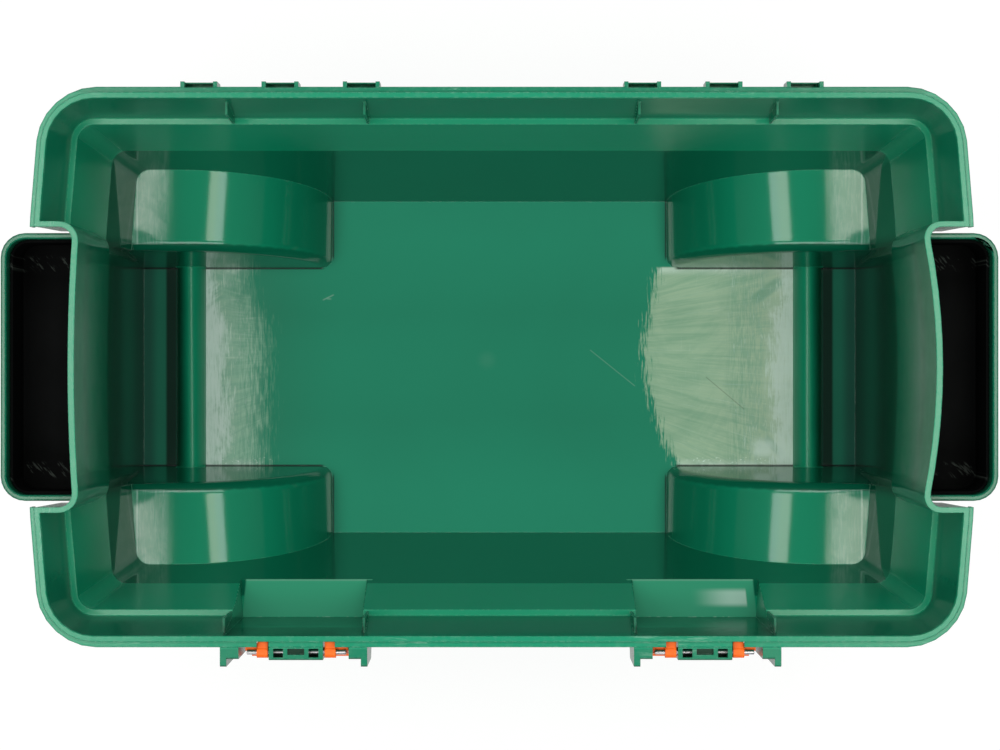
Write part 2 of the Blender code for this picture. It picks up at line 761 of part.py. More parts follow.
def guard_plate(x, side, start, end, reach):
    """One step of a latch guard, as a plate on the housing's front with a tapered foot."""
    root = NECK_WIDTH + WALL / 2
    low = LUG_TOP + GUARD_HEIGHT
    profile = [
        (-root, height(LUG_TOP)),
        (-reach + GUARD_EDGE, height(LUG_TOP)),
        (-reach, height(LUG_TOP + GUARD_EDGE)),
        (-reach, height(low - GUARD_TAPER)),
        (-root, height(low)),
    ]
    return plate("guard", profile, (x + side * start, x + side * end))


def add_latch_guards(shell, x):
    for side in (-1, 1):
        step = guard_plate(x, side, GUARD_INNER, GUARD_OUTER - GUARD_PRONG / 2, GUARD_STEP_REACH)
        combine(shell, [step], "UNION")
        prong = guard_plate(x, side, GUARD_OUTER - GUARD_PRONG, GUARD_OUTER, GUARD_REACH)
        combine(shell, [prong], "UNION")


def cut_flange_notches(shell, x):
    """Gaps in the flange for the latch's arms."""
    notches = []
    for side in (-1, 1):
        near = x + side * (LUG_HALF_WIDTH - KNUCKLE_PLAY)
        far = near + side * FLANGE_NOTCH
        notches.append(block(
            "notch",
            sorted((near, far)),
            (-RIM_HALF_WIDTH - OVERRUN, -NOTCH_FLOOR),
            (height(FLANGE_STEP + FLANGE_HEIGHT + OVERRUN), height(-OVERRUN)),
        ))
    combine(shell, notches, "DIFFERENCE")


def add_hinge_sockets(shell):
    """Blind sockets on the back of the rim, which the lid's hooks drop into."""
    sockets = []
    slots = []
    mouths = []
    low = SOCKET_TOP + SOCKET_HEIGHT
    profile = [
        (NECK_WIDTH + RIM_BAND / 2, height(SOCKET_TOP)),
        (SOCKET_REACH, height(SOCKET_TOP)),
        (SOCKET_REACH, height(low - SOCKET_TAPER)),
        (NECK_WIDTH + RIM_BAND / 2, height(low)),
    ]
    for side_x in (-1, 1):
        for at in SOCKET_X:
            x = side_x * at + SOCKET_SHIFT
            sockets.append(plate("socket", profile, (x - SOCKET_HALF_WIDTH, x + SOCKET_HALF_WIDTH)))
            slots.append(block(
                "slot",
                (x - SLOT_HALF_WIDTH, x + SLOT_HALF_WIDTH),
                (SLOT_INNER, SOCKET_REACH - SLOT_WALL),
                (height(SLOT_DEPTH), height(-OVERRUN)),
            ))
            mouths.append(block(
                "mouth",
                (x - SLOT_HALF_WIDTH, x + SLOT_HALF_WIDTH),
                (SOCKET_REACH - 2 * SLOT_WALL, SOCKET_REACH + OVERRUN),
                (height(SLOT_WALL_DEPTH), height(-OVERRUN)),
            ))
    combine(shell, sockets, "UNION")
    combine(shell, slots, "DIFFERENCE")
    combine(shell, mouths, "DIFFERENCE")


def tub_cavity():
    """The space inside the tub, with the arches, tunnels, ribs and pocket walls left out of it."""
    cavity = loft("cavity", [
        lower_ring(TUB_DEPTH),
        lower_ring(LEDGE_DEPTH),
        neck_ring(LEDGE_DEPTH),
        neck_ring(-OVERRUN),
    ])
    bays = [
        block(
            "bay",
            sorted((side_x * AXLE_X, side_x * (MIDDLE_FOOT_X + MIDDLE_SPRING[side_x] + OVERRUN))),
            (-BAY_HALF_WIDTH, BAY_HALF_WIDTH),
            (height(TUB_DEPTH), height(BAY_TOP_DEPTH)),
        )
        for side_x in (-1, 1)
    ]
    combine(cavity, bays, "UNION")
    combine(cavity, [housing("housing", side_x, 0.0) for side_x in (-1, 1)], "UNION")
    combine(cavity, [pocket("pocket", side_x, MIDDLE_WALL) for side_x in (-1, 1)], "DIFFERENCE")
    arches = [arch("arch", side_x, side_y, 0.0) for side_x in (-1, 1) for side_y in (-1, 1)]
    combine(cavity, arches, "DIFFERENCE")
    reach = ARCH_SIDE + ARCH_FILLET
    ridges = [
        cylinder_along("ridge", "Y", TUNNEL_RADIUS, -reach, reach, (side_x * AXLE_X, FLOOR_Z))
        for side_x in (-1, 1)
    ]
    combine(cavity, ridges, "DIFFERENCE")
    ribs = [housing_rib(side_x, side) for side_x in (-1, 1) for side in (-1, 1)]
    ribs += [back_rib(side_x * x + SOCKET_SHIFT) for side_x in (-1, 1) for x in BACK_RIB_X]
    combine(cavity, ribs, "DIFFERENCE")
    return cavity


def make_tub():
    tub = tub_shell()
    add_keels(tub)
    cut_wheel_wells(tub)
    for side_x in (-1, 1):
        x = side_x * LATCH_X + LUG_SHIFT[side_x]
        add_latch_lug(tub, x)
        cut_flange_notches(tub, x)
        add_latch_guards(tub, side_x * LATCH_X + GUARD_SHIFT[side_x])
    add_hinge_sockets(tub)
    combine(tub, [tub_cavity()], "DIFFERENCE")
    cut_axle_grooves(tub)
    paint(tub, GREEN)
    return tub


def make_liner(name, side_x):
    """A black tray that closes a handle's pocket and leaves a finger hold under it."""
    top = LOOP_DROP + LINER_DROP
    bottom = top + LINER_HEIGHT
    liner = loft(name, [
        liner_ring(side_x, bottom, 0.0),
        liner_ring(side_x, top, 0.0),
        liner_ring(side_x, top, LINER_WALL),
        liner_ring(side_x, bottom - LINER_WALL, LINER_WALL),
    ])
    paint(liner, BLACK)
    return liner


def wheel_mesh():
    """A moulded wheel round the Y axis: hub, web, rim and spokes on both faces."""
    rim_outer = WHEEL_RADIUS - TYRE_THICKNESS - GAP
    rim_inner = rim_outer - RIM_THICKNESS
    inner = HUB_INNER - WHEEL_Y
    outer = HUB_OUTER - WHEEL_Y
    web_low = WEB_OFFSET - WEB_THICKNESS / 2
    web_high = WEB_OFFSET + WEB_THICKNESS / 2
    half = RIM_WIDTH / 2
    wheel = turned_ring("wheel", [
        (BORE_RADIUS, inner),
        (HUB_RADIUS, inner),
        (HUB_RADIUS, web_low),
        (rim_inner, web_low),
        (rim_inner, -half),
        (rim_outer, -half),
        (rim_outer, half),
        (rim_inner, half),
        (rim_inner, web_high),
        (HUB_RADIUS, web_high),
        (HUB_RADIUS, outer),
        (BORE_RADIUS, outer),
    ])
    spokes = []
    for k in range(SPOKES):
        spoke = block(
            "spoke",
            (BORE_RADIUS + HUB_RADIUS / 3, rim_inner + RIM_THICKNESS / 2),
            (-half + SPOKE_RECESS, half - SPOKE_RECESS),
            (-SPOKE_THICKNESS / 2, SPOKE_THICKNESS / 2),
        )
        spoke.data.transform(Matrix.Rotation(math.tau * (k + 0.5) / SPOKES, 4, "Y"))
        spokes.append(spoke)
    combine(wheel, spokes, "UNION")
    return wheel


def tyre_ring():
    """A tyre round the Y axis, with rounded shoulders and a groove round its tread."""
    seat = WHEEL_RADIUS - TYRE_THICKNESS
    half = TREAD_WIDTH / 2
    side = seat + TYRE_THICKNESS * SHOULDER_RISE
    outer_half = [
        (WHEEL_RADIUS - TREAD_GROOVE, GROOVE_HALF / 2),
        (WHEEL_RADIUS, GROOVE_HALF),
        (WHEEL_RADIUS, TREAD_HALF),
        (WHEEL_RADIUS - SHOULDER_DROP, SHOULDER_HALF),
        (side, half),
        (seat, RIM_WIDTH / 2),
    ]
    inner_half = [(radius, -y) for radius, y in outer_half[::-1]]
    return turned_ring("tyre", inner_half + outer_half)


def axle_cap():
    """A push-on cap that keeps a wheel on its axle, as a cup open towards the tub."""
    return turned_solid("cap", [
        (CAP_RADIUS - CAP_ROUND, CAP_LENGTH),
        (CAP_RADIUS - CAP_ROUND / 4, CAP_LENGTH - CAP_ROUND / 3),
        (CAP_RADIUS, CAP_LENGTH - CAP_ROUND),
        (CAP_RADIUS, 0.0),
        (BORE_RADIUS, 0.0),
        (BORE_RADIUS, CAP_LENGTH - CAP_TOP),
    ])


def rod(name, radius, half_length, chamfer, axis, steps=SMALL_STEPS):
    return turned_solid(name, [
        (radius - chamfer, -half_length),
        (radius, -half_length + chamfer),
        (radius, half_length - chamfer),
        (radius - chamfer, half_length),
    ], steps, axis)


def lever_plate():
    """The latch's plate: it leans out from its head to a turned lip, and is cut out round the lug."""
    head = -(RIM_HALF_WIDTH + LEVER_PLAY - PIN_REACH)
    foot = head - LEVER_LEAN
    lip = foot - LEVER_LIP
    thick = LEVER_THICKNESS
    length = LEVER_LENGTH
    profile = [
        (head, -LEVER_TOP),
        (foot, -length),
        (lip, -length - LEVER_LIP_DROP),
        (lip, -length - LEVER_LIP_EDGE),
        (foot - thick, -length + LEVER_BEND),
        (head - thick, -LEVER_TOP),
    ]
    body = plate("lever", profile, (-LEVER_HALF_WIDTH, LEVER_HALF_WIDTH))
    swing = math.hypot(LUG_REACH - PIN_REACH, LUG_TOP + LUG_HEIGHT - PIN_DEPTH) + LUG_SWING
    cut_half = LUG_HALF_WIDTH + KNUCKLE_PLAY
    window = block(
        "window", (-cut_half, cut_half), (-OVERRUN, OVERRUN), (-swing, KNUCKLE_RADIUS)
    )
    combine(body, [window], "DIFFERENCE")
    return body


def lever_ribs():
    """Stiffening ribs down both edges of a latch plate."""
    head = -(RIM_HALF_WIDTH + LEVER_PLAY - PIN_REACH)
    foot = head - LEVER_LEAN
    thick = LEVER_THICKNESS
    top = -2 * KNUCKLE_RADIUS
    low = -LEVER_LENGTH + LEVER_LIP_EDGE
    fall = (top + LEVER_TOP) / (-LEVER_LENGTH + LEVER_TOP)
    start = head - LEVER_LEAN * fall
    profile = [
        (start - thick / 2, top),
        (foot - thick / 2, low),
        (foot - thick - LEVER_RIB_HEIGHT, low),
        (start - thick - LEVER_RIB_HEIGHT, top - LEVER_RIB_HEIGHT),
    ]
    ribs = []
    for side in (-1, 1):
        outer = side * (LEVER_HALF_WIDTH - LEVER_RIB)
        ribs.append(plate("rib", profile, sorted((outer, outer - side * LEVER_RIB))))
    return ribs


def lever_mesh():
    """A latch lever round its pin: plate, two knuckles and the arms that reach the rim."""
    lever = lever_plate()
    combine(lever, lever_ribs(), "UNION")
    near = LUG_HALF_WIDTH + KNUCKLE_PLAY
    far = near + KNUCKLE_LENGTH
    knuckles = []
    arms = []
    bores = []
    for side in (-1, 1):
        ends = sorted((side * near, side * far))
        knuckles.append(cylinder_along("knuckle", "X", KNUCKLE_RADIUS, *ends))
        arm_end = side * (near + KNUCKLE_LENGTH - KNUCKLE_PLAY)
        arms.append(block(
            "arm",
            sorted((arm_end, arm_end - side * ARM_WIDTH)),
            (0.0, PIN_REACH - ARM_REACH),
            (-ARM_HEIGHT / 2, ARM_HEIGHT / 2 - KNUCKLE_PLAY),
        ))
        wide = sorted((side * (near - OVERRUN / 4), side * (far + OVERRUN)))
        bores.append(cylinder_along("bore", "X", PIN_RADIUS + GAP, *wide, steps=PIN_STEPS))
    combine(lever, knuckles, "UNION")
    combine(lever, arms, "UNION")
    combine(lever, bores, "DIFFERENCE")
    return lever


def copy_of(source, name, place, turn_z, parent, finish):
    """An object of its own that shares the source's mesh, placed and turned about Z."""
    obj = bpy.data.objects.new(name, source.data)
    bpy.context.scene.collection.objects.link(obj)
    obj.location = place
    obj.rotation_euler.z = turn_z
    obj.parent = parent
    paint(obj, finish)
    return obj


def make_running_gear(parent):
    """Axles, wheels, tyres and caps."""
    axle = rod("axle", AXLE_RADIUS, AXLE_HALF_LENGTH, AXLE_CHAMFER, "Y")
    wheel = wheel_mesh()
    tyre = tyre_ring()
    cap = axle_cap()
    for end, side_x in (("left", -1), ("right", 1)):
        x = side_x * AXLE_X
        copy_of(axle, f"axle_{end}", (x, 0.0, WHEEL_RADIUS), 0.0, parent, STEEL)
        for face, side_y in (("front", -1), ("back", 1)):
            turn = 0.0 if side_y > 0 else math.pi
            middle = (x, side_y * WHEEL_Y, WHEEL_RADIUS)
            copy_of(wheel, f"wheel_{face}_{end}", middle, turn, parent, WHEEL_BLACK)
            copy_of(tyre, f"tyre_{face}_{end}", middle, turn, parent, RUBBER)
            seat = (x, side_y * (HUB_OUTER + GAP), WHEEL_RADIUS)
            copy_of(cap, f"axle_cap_{face}_{end}", seat, turn, parent, BLACK)
    for source in (axle, wheel, tyre, cap):
        bpy.data.objects.remove(source, do_unlink=True)


def make_latches(parent):
    """Steel pins in the lugs, and the levers that swing on them."""
    pin = rod("pin", PIN_RADIUS, PIN_LENGTH / 2, PIN_RADIUS / 5, "X", steps=PIN_STEPS)
    lever = lever_mesh()
    for end, side_x in (("left", -1), ("right", 1)):
        place = (side_x * LATCH_X + LUG_SHIFT[side_x], -PIN_REACH, height(PIN_DEPTH))
        copy_of(pin, f"latch_pin_{end}", place, 0.0, parent, STEEL)
        copy_of(lever, f"latch_lever_{end}", place, 0.0, parent, ORANGE)
    for source in (pin, lever):
        bpy.data.objects.remove(source, do_unlink=True)


def main():
    clear_scene()
    middle = bpy.data.objects.new("middle", None)
    bpy.context.scene.collection.objects.link(middle)
    middle.location.y = MIDDLE_Y
    make_tub().parent = middle
    make_liner("pocket_liner_left", -1).parent = middle
    make_liner("pocket_liner_right", 1).parent = middle
    make_running_gear(middle)
    make_latches(middle)


main()
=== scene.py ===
"""Looks for the wheeled storage box: materials, finer wheels, lights, floor and camera.

Metres, +Z up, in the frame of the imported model. The box's own middle lies at y = MIDDLE_Y.
"""

import math
from types import SimpleNamespace

import bmesh
import bpy
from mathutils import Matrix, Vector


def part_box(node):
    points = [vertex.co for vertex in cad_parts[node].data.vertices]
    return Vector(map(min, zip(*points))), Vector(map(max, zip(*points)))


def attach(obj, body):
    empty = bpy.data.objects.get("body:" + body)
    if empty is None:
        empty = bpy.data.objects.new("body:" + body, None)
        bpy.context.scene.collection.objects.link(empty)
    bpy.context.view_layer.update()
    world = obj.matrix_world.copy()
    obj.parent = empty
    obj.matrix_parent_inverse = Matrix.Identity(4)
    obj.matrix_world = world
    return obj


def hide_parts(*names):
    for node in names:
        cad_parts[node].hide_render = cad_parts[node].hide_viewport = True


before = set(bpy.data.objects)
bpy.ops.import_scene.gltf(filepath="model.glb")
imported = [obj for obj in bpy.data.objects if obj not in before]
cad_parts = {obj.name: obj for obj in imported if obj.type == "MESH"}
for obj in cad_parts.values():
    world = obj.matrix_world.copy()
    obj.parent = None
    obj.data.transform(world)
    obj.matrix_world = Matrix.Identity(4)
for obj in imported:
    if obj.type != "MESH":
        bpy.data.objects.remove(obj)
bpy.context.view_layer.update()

# Places shared with the model
MIDDLE_Y = 0.00575
RIM_Z = 0.465
FLOOR_Z = 0.100
POLISH_Z = 0.3065       # under this the inside is glossy, and satin above it
LEDGE_Z = 0.400
AXLE_X = 0.2940
AXLE_Z = 0.100
TUNNEL_RADIUS = 0.0137
ARCH_RADIUS = 0.1345
ARCH_SIDE = 0.0943
ARCH_TOE_X = 0.1595     # where the arches' curve meets the floor
POCKET_X = 0.376        # middle of the handle pockets
POCKET_SPAN = (0.3530, 0.4000)
POCKET_HALF = 0.1040
LOOP_TOP_Z = 0.445
END_X = 0.3350          # foot of the end walls
END_HALF = 0.1050       # half width of the walls behind the handles
OUTSIDE_X = 0.3915
HOUSING_SPAN = (0.1095, 0.2225)
HOUSING_Y = -0.2105
HOUSING_Z = 0.3265
FOOT_SPAN = (0.1110, 0.2215)    # the latch housings' sloping feet
FOOT_LOW_Z = 0.2920
FOOT_HIGH_Z = 0.3250
FOOT_LOW_Y = 0.1857
FOOT_SLOPE = 0.893
FRONT_PARTS_Y = -0.2270         # lugs and guards lie beyond this
BACK_LIP_Y = 0.2209
CORNER_SPAN = ((0.300, 0.325), (0.140, 0.165))
INWARD = (-2.6, -4.5, 1.2)      # weights of x, y and up in finding faces that look in

# Wheels, tyres and axle caps
SHARP_ANGLE = math.radians(32)
TURN_STEPS = 96
TREAD_STEPS = 144
TREAD_PERIOD = 3        # steps to one block of the tread
TREAD_RADIUS = 0.1000
TREAD_CUT = 0.0018
SEAT_RADIUS = 0.0860
SEAT_HALF = 0.0210
RIM_OUTER = 0.0857
RIM_INNER = 0.0780
HUB_RADIUS = 0.0160
BORE_RADIUS = 0.0063
WEB_OFFSET = 0.0050
WEB_HALF = 0.0020
HUB_IN = -0.0365
HUB_OUT = 0.0265
SOFT_EDGE = 0.0012
SPOKES = 6
SPOKE_HALF_HUB = 0.0019
SPOKE_HALF_RIM = 0.0013
SPOKE_RECESS = 0.0030
CAP_RADIUS = 0.0130
CAP_LENGTH = 0.0075
CAP_ROUND = 0.0024
CAP_WALL = 0.0020
CAP_EYE = 0.0002        # a hair off the axis, so that the turned cap stays a ring
CAP_STEP = math.radians(15)
SEAT_GAP = 0.0003

# Camera
CAMERA_RISE = 1.9       # over the rim
CAMERA_LENS = 85.3
CAMERA_SENSOR = 36.0
CAMERA_SHIFT = (0.0005, -0.008)

# Colours, linear
GREEN = (0.0045, 0.2150, 0.1130)
GREEN_DEEP = (0.0040, 0.1900, 0.0980)
# pale green for scuffs, and for painted sheen and highlights on the housings' feet and on edges
SCUFF_AND_SHEEN = (0.3000, 0.5000, 0.4000)
# sage tones that paint the softboxes' reflection in the floor's scuffed patches
SAGE_REFLECTION = (0.3650, 0.5500, 0.3750)
SAGE_REFLECTION_COOL = (0.3250, 0.5900, 0.4300)
HAZE = (0.2800, 0.7500, 0.7600)
# bluish white for rubbing, and for painted reflections on the floor, the arches' ends and the
# right housing foot
RUB_AND_REFLECTION_WHITE = (0.6600, 0.8300, 0.7600)
# near black for painted shade in creases and past the tunnels, and for dark scratches
SHADOW = (0.0040, 0.0060, 0.0050)
LINER_BLACK = (0.0010, 0.0013, 0.0014)
LINER_MARK = (0.3000, 0.3600, 0.3200)
WHEEL_BLACK = (0.0200, 0.0210, 0.0220)
WHEEL_DUST = (0.0440, 0.0462, 0.0484)
ORANGE = (0.9500, 0.1500, 0.0060)
ORANGE_DEEP = (0.8000, 0.0950, 0.0040)
STEEL = (0.4600, 0.4600, 0.4800)
STEEL_DULL = (0.2600, 0.2400, 0.2300)
RUBBER = (0.0220, 0.0220, 0.0230)
RUBBER_DUST = (0.0700, 0.0660, 0.0600)

# Painted light and shade as a factor on the green's lightness, and roughness, on each part of the
# tub
PAINTED_LIGHT_AND_SHADE = {
    "satin": 1.14,
    "polished": 0.49,
    "neck": (0.50, 0.66),       # front, elsewhere
    "housing": 0.42,
    "ledge": 1.36,
    "tunnel": 1.45,
    "arch": (0.78, 1.24),       # at the toe, towards the end
    "back_lip": 0.74,
    "outside": 0.80,
    "end_panel": (0.95, 1.50),  # left, right
    "end_wall": 0.50,
    "outboard": 0.62,
    "pocket": 0.10,
    "foot": (1.10, 1.30),       # top, bottom
}
ROUGH = {
    "satin": 0.23,
    "polished": 0.10,
    "ledge": 0.22,
    "end_wall": 0.13,
    "corner": 0.50,
    "end_panel": 0.58,
    "tunnel": 0.30,
    "floor": (0.10, 0.055),     # left, right
}

# The floor's scuffed patches, painted pale with the softboxes' reflection in them
RIGHT_PATCH = (0.1350, 0.1440)  # x over which each patch fades in
LEFT_PATCH = (-0.212, -0.248)
PATCH_END_X = 0.2815
STRIP = (0.252, 0.268)          # and the whiter strips of painted reflection along the tunnels
FAN_CENTRE = (-0.060, 0.020)    # where the wiped strokes come from
GATE = (-0.0120, 0.0067)        # mark in the middle of the floor
TUNNEL_FOOT_SHADE_SPAN = (AXLE_X + TUNNEL_RADIUS + 0.0010, 0.3185)     # painted shade in lines beyond the tunnels

# Scratches on the floor: start, end, half width and strength, pale above 0 and dark below
SCRATCHES = (
    ((0.0866, 0.0163), (0.1295, -0.0182), 0.00035, 0.30),
    ((0.1974, -0.0096), (0.2337, -0.0402), 0.00038, -0.30),
    ((-0.1688, 0.0640), (-0.1585, 0.0690), 0.00050, 0.45),
    ((-0.1650, 0.0655), (-0.1610, 0.0650), 0.00070, 0.35),
    ((0.2127, -0.0163), (0.2347, -0.0172), 0.00030, 0.45),
    ((-0.2510, 0.0153), (-0.2410, 0.0115), 0.00050, 0.30),
)

# Greener wedges, with less painted reflection, in the right patch's far corners: start, end and
# half width
WEDGES = (
    ((0.2700, 0.0830), (0.2430, 0.0640), 0.0040),
    ((0.2540, -0.0680), (0.2710, -0.0840), 0.0030),
)

# Lamps over the camera: x range, y range, radiance and colour
SOFTBOXES = {
    "left_inner": ((-1.00, -0.58), (-0.50, 0.50), 6.2, (1.0, 1.0, 0.90)),
    "left_outer": ((-1.34, -1.00), (-0.50, 0.50), 6.0, (0.94, 1.0, 0.98)),
    "right_inner": ((0.54, 0.85), (-0.50, 0.50), 6.2, (1.0, 1.0, 0.84)),
    "right_outer": ((0.85, 1.18), (-0.50, 0.50), 6.2, (0.94, 1.0, 0.98)),
    "front_softbox": ((-1.30, 1.30), (-2.00, -1.10), 5.2, (1.0, 1.0, 1.0)),
    "back_softbox": ((-1.30, 1.30), (1.10, 2.00), 5.2, (1.0, 1.0, 1.0)),
}
LAMP_RISE = 0.045               # over the camera
WORLD_LIGHT = 0.22
GROUND_HALF = 20.0
GROUND_WHITE = 0.86
GROUND_GLOW = 1.10
GLOW_TO_CAMERA = 0.74           # how much of the ground's look is glow, to the camera
GLOW_TO_GLOSS = 0.32            # and in reflections


class Net:
    """A material's nodes, with short ways to add and join them."""

    def __init__(self, name):
        self.material = bpy.data.materials.new(name)
        self.material.use_nodes = True
        self.tree = self.material.node_tree
        self.shader = self.tree.nodes["Principled BSDF"]
        place = self.add("ShaderNodeTexCoord")
        self.place = place.outputs["Object"]

    def add(self, kind, **settings):
        node = self.tree.nodes.new(kind)
        for key, value in settings.items():
            setattr(node, key, value)
        return node

    def feed(self, socket, value):
        """Joins an output to a socket, or sets the socket's own value."""
        if isinstance(value, bpy.types.NodeSocket):
            self.tree.links.new(value, socket)
        elif isinstance(value, (tuple, list)) and len(socket.default_value) == 4:
            socket.default_value = (*value[:3], 1.0)
        else:
            socket.default_value = value

    def math(self, operation, first, second=0.0):
        node = self.add("ShaderNodeMath", operation=operation)
        self.feed(node.inputs[0], first)
        self.feed(node.inputs[1], second)
        return node.outputs[0]

    def plus(self, first, second):
        return self.math("ADD", first, second)

    def times(self, first, second):
        return self.math("MULTIPLY", first, second)

    def axis(self, which, vector=None):
        node = self.add("ShaderNodeSeparateXYZ")
        self.feed(node.inputs[0], self.place if vector is None else vector)
        return node.outputs[which]

    def span(self, value, low, high, start=0.0, end=1.0):
        """A smooth step of a value from low to high."""
        node = self.add("ShaderNodeMapRange", interpolation_type="SMOOTHSTEP")
        for key, number in (
            ("Value", value),
            ("From Min", low),
            ("From Max", high),
            ("To Min", start),
            ("To Max", end),
        ):
            self.feed(node.inputs[key], number)
        return node.outputs["Result"]

    def mapped(self, scale, turn=(0.0, 0.0, 0.0)):
        """The place, stretched, so that a noise becomes strokes."""
        node = self.add("ShaderNodeMapping")
        self.feed(node.inputs["Vector"], self.place)
        node.inputs["Rotation"].default_value = turn
        node.inputs["Scale"].default_value = scale
        return node.outputs["Vector"]

    def noise(self, scale, detail, rough, vector=None, bend=0.0):
        node = self.add("ShaderNodeTexNoise")
        self.feed(node.inputs["Vector"], self.place if vector is None else vector)
        self.feed(node.inputs["Scale"], scale)
        self.feed(node.inputs["Detail"], detail)
        self.feed(node.inputs["Roughness"], rough)
        self.feed(node.inputs["Distortion"], bend)
        return node.outputs["Fac"]

    def mix(self, share, first, second):
        node = self.add("ShaderNodeMix", data_type="RGBA")
        self.feed(node.inputs["Factor"], share)
        self.feed(node.inputs[6], first)
        self.feed(node.inputs[7], second)
        return node.outputs[2]

    def mix_value(self, share, first, second):
        node = self.add("ShaderNodeMix", data_type="FLOAT")
        self.feed(node.inputs["Factor"], share)
        self.feed(node.inputs[2], first)
        self.feed(node.inputs[3], second)
        return node.outputs[0]

    def bump(self, height, strength, distance, normal=None):
        node = self.add("ShaderNodeBump")
        self.feed(node.inputs["Height"], height)
        self.feed(node.inputs["Strength"], strength)
        self.feed(node.inputs["Distance"], distance)
        if normal is not None:
            self.feed(node.inputs["Normal"], normal)
        return node.outputs["Normal"]

    def rounded(self, radius):
        """A normal that rounds the edges."""
        node = self.add("ShaderNodeBevel", samples=4)
        node.inputs["Radius"].default_value = radius
        return node.outputs["Normal"]

    def lines(self, angle, across, along, low, high):
        """Thin streaks that run at one angle in the XY plane."""
        node = self.add("ShaderNodeMapping", vector_type="TEXTURE")
        self.feed(node.inputs["Vector"], self.place)
        node.inputs["Rotation"].default_value = (0.0, 0.0, angle)
        node.inputs["Scale"].default_value = (1.0 / along, 1.0 / across, 1.0)
        return self.span(self.noise(1.0, 3.0, 0.6, node.outputs["Vector"]), low, high)

    def turned_off(self, normal):
        """How far a rounded normal turns away from the surface's own, from 0 to 1."""
        own = self.add("ShaderNodeNewGeometry").outputs["Normal"]
        dot = self.add("ShaderNodeVectorMath", operation="DOT_PRODUCT")
        self.feed(dot.inputs[0], normal)
        self.feed(dot.inputs[1], own)
        return self.span(dot.outputs["Value"], 0.995, 0.88)

    def segment(self, x, y, start, end, half):
        """1 on a thin straight line in the XY plane, 0 off it."""
        run = (end[0] - start[0], end[1] - start[1])
        length = math.hypot(*run)
        unit = (run[0] / length, run[1] / length)
        from_x = self.plus(x, -start[0])
        from_y = self.plus(y, -start[1])
        along = self.plus(self.times(from_x, unit[0]), self.times(from_y, unit[1]))
        across = self.plus(self.times(from_x, -unit[1]), self.times(from_y, unit[0]))
        across = self.math("ABSOLUTE", across)
        within = self.times(
            self.span(along, -2 * half, 2 * half),
            self.span(along, length + 2 * half, length - 2 * half),
        )
        return self.times(within, self.span(across, 2 * half, half / 2))

    def scaled(self, colour, factor):
        """A colour made lighter or darker."""
        node = self.add("ShaderNodeVectorMath", operation="SCALE")
        self.feed(node.inputs[0], colour)
        self.feed(node.inputs["Scale"], factor)
        return node.outputs["Vector"]

    def tilted(self, normal, lean):
        """A normal turned towards +X by a small slope."""
        push = self.add("ShaderNodeCombineXYZ")
        self.feed(push.inputs[0], lean)
        total = self.add("ShaderNodeVectorMath", operation="ADD")
        self.feed(total.inputs[0], normal)
        self.feed(total.inputs[1], push.outputs[0])
        unit = self.add("ShaderNodeVectorMath", operation="NORMALIZE")
        self.feed(unit.inputs[0], total.outputs["Vector"])
        return unit.outputs["Vector"]

    def set(self, **values):
        for key, value in values.items():
            self.feed(self.shader.inputs[key.replace("_", " ")], value)
        return self.material


def by_side(net, x, left, right):
    """One value on the left and another on the right."""
    return net.span(x, -0.1, 0.1, left, right)


def inside(net, value, low, high, soft):
    """1 while a value lies between low and high, falling to 0 over the soft width."""
    rise = net.span(value, low - soft, low + soft)
    return net.times(rise, net.span(value, high + soft, high - soft))


def faces_in(net, x, y):
    """1 on faces that look into the tub, 0 on its outside and underside."""
    normal = net.add("ShaderNodeNewGeometry").outputs["Normal"]
    n_x, n_y, n_z = (net.axis(k, normal) for k in range(3))
    inward = net.plus(
        net.times(net.times(n_x, x), INWARD[0]),
        net.times(net.times(n_y, y), INWARD[1]),
    )
    return net.span(net.plus(inward, net.times(n_z, INWARD[2])), -0.10, 0.10)


def into_pocket(net, x, y):
    """Under 0 on faces that look into a handle pocket, over 0 on the handle's outside."""
    normal = net.add("ShaderNodeNewGeometry").outputs["Normal"]
    n_x, n_y = (net.axis(k, normal) for k in range(2))
    from_middle = net.plus(net.math("ABSOLUTE", x), -POCKET_X)
    outward = net.times(net.times(n_x, net.math("SIGN", x)), net.times(from_middle, 4.0))
    return net.plus(outward, net.times(n_y, y))


def floor_hairs(net):
    """Fine strokes of the rubbed floor along Y, and others across them."""
    strokes = net.noise(1.0, 3.0, 0.65, net.mapped(scale=(520.0, 52.0, 1.0)), 0.4)
    slanting = net.mapped(turn=(0.0, 0.0, 0.14), scale=(16.0, 260.0, 1.0))
    return strokes, net.noise(1.0, 3.0, 0.6, slanting, 0.3)


def fan(net, x, y, centre, along, across, detail, bend=0.3):
    """Strokes that spread from a centre, as a hand wipes."""
    from_x = net.plus(x, -centre[0])
    from_y = net.plus(y, -centre[1])
    reach = net.math("SQRT", net.plus(net.times(from_x, from_x), net.times(from_y, from_y)))
    turn = net.math("ARCTAN2", from_y, net.math("ABSOLUTE", from_x))
    place = net.add("ShaderNodeCombineXYZ")
    net.feed(place.inputs[0], net.times(reach, along))
    net.feed(place.inputs[1], net.times(turn, across))
    return net.noise(1.0, detail, 0.62, place.outputs[0], bend)


def floor_crease_shade(net, far_x, far_y, z):
    """Thin lines of painted shade where the arches meet the floor."""
    low = net.span(z, FLOOR_Z + 0.0022, FLOOR_Z + 0.0012)
    along_side = inside(net, far_y, ARCH_SIDE - 0.0010, ARCH_SIDE + 0.0003, 0.0003)
    along_side = net.times(along_side, net.span(far_x, ARCH_TOE_X + 0.006, ARCH_TOE_X + 0.012))
    along_toe = inside(net, far_x, ARCH_TOE_X - 0.0014, ARCH_TOE_X - 0.0004, 0.0003)
    along_toe = net.times(along_toe, net.span(far_y, ARCH_SIDE + 0.006, ARCH_SIDE + 0.012))
    return net.times(low, net.math("MAXIMUM", along_side, along_toe))


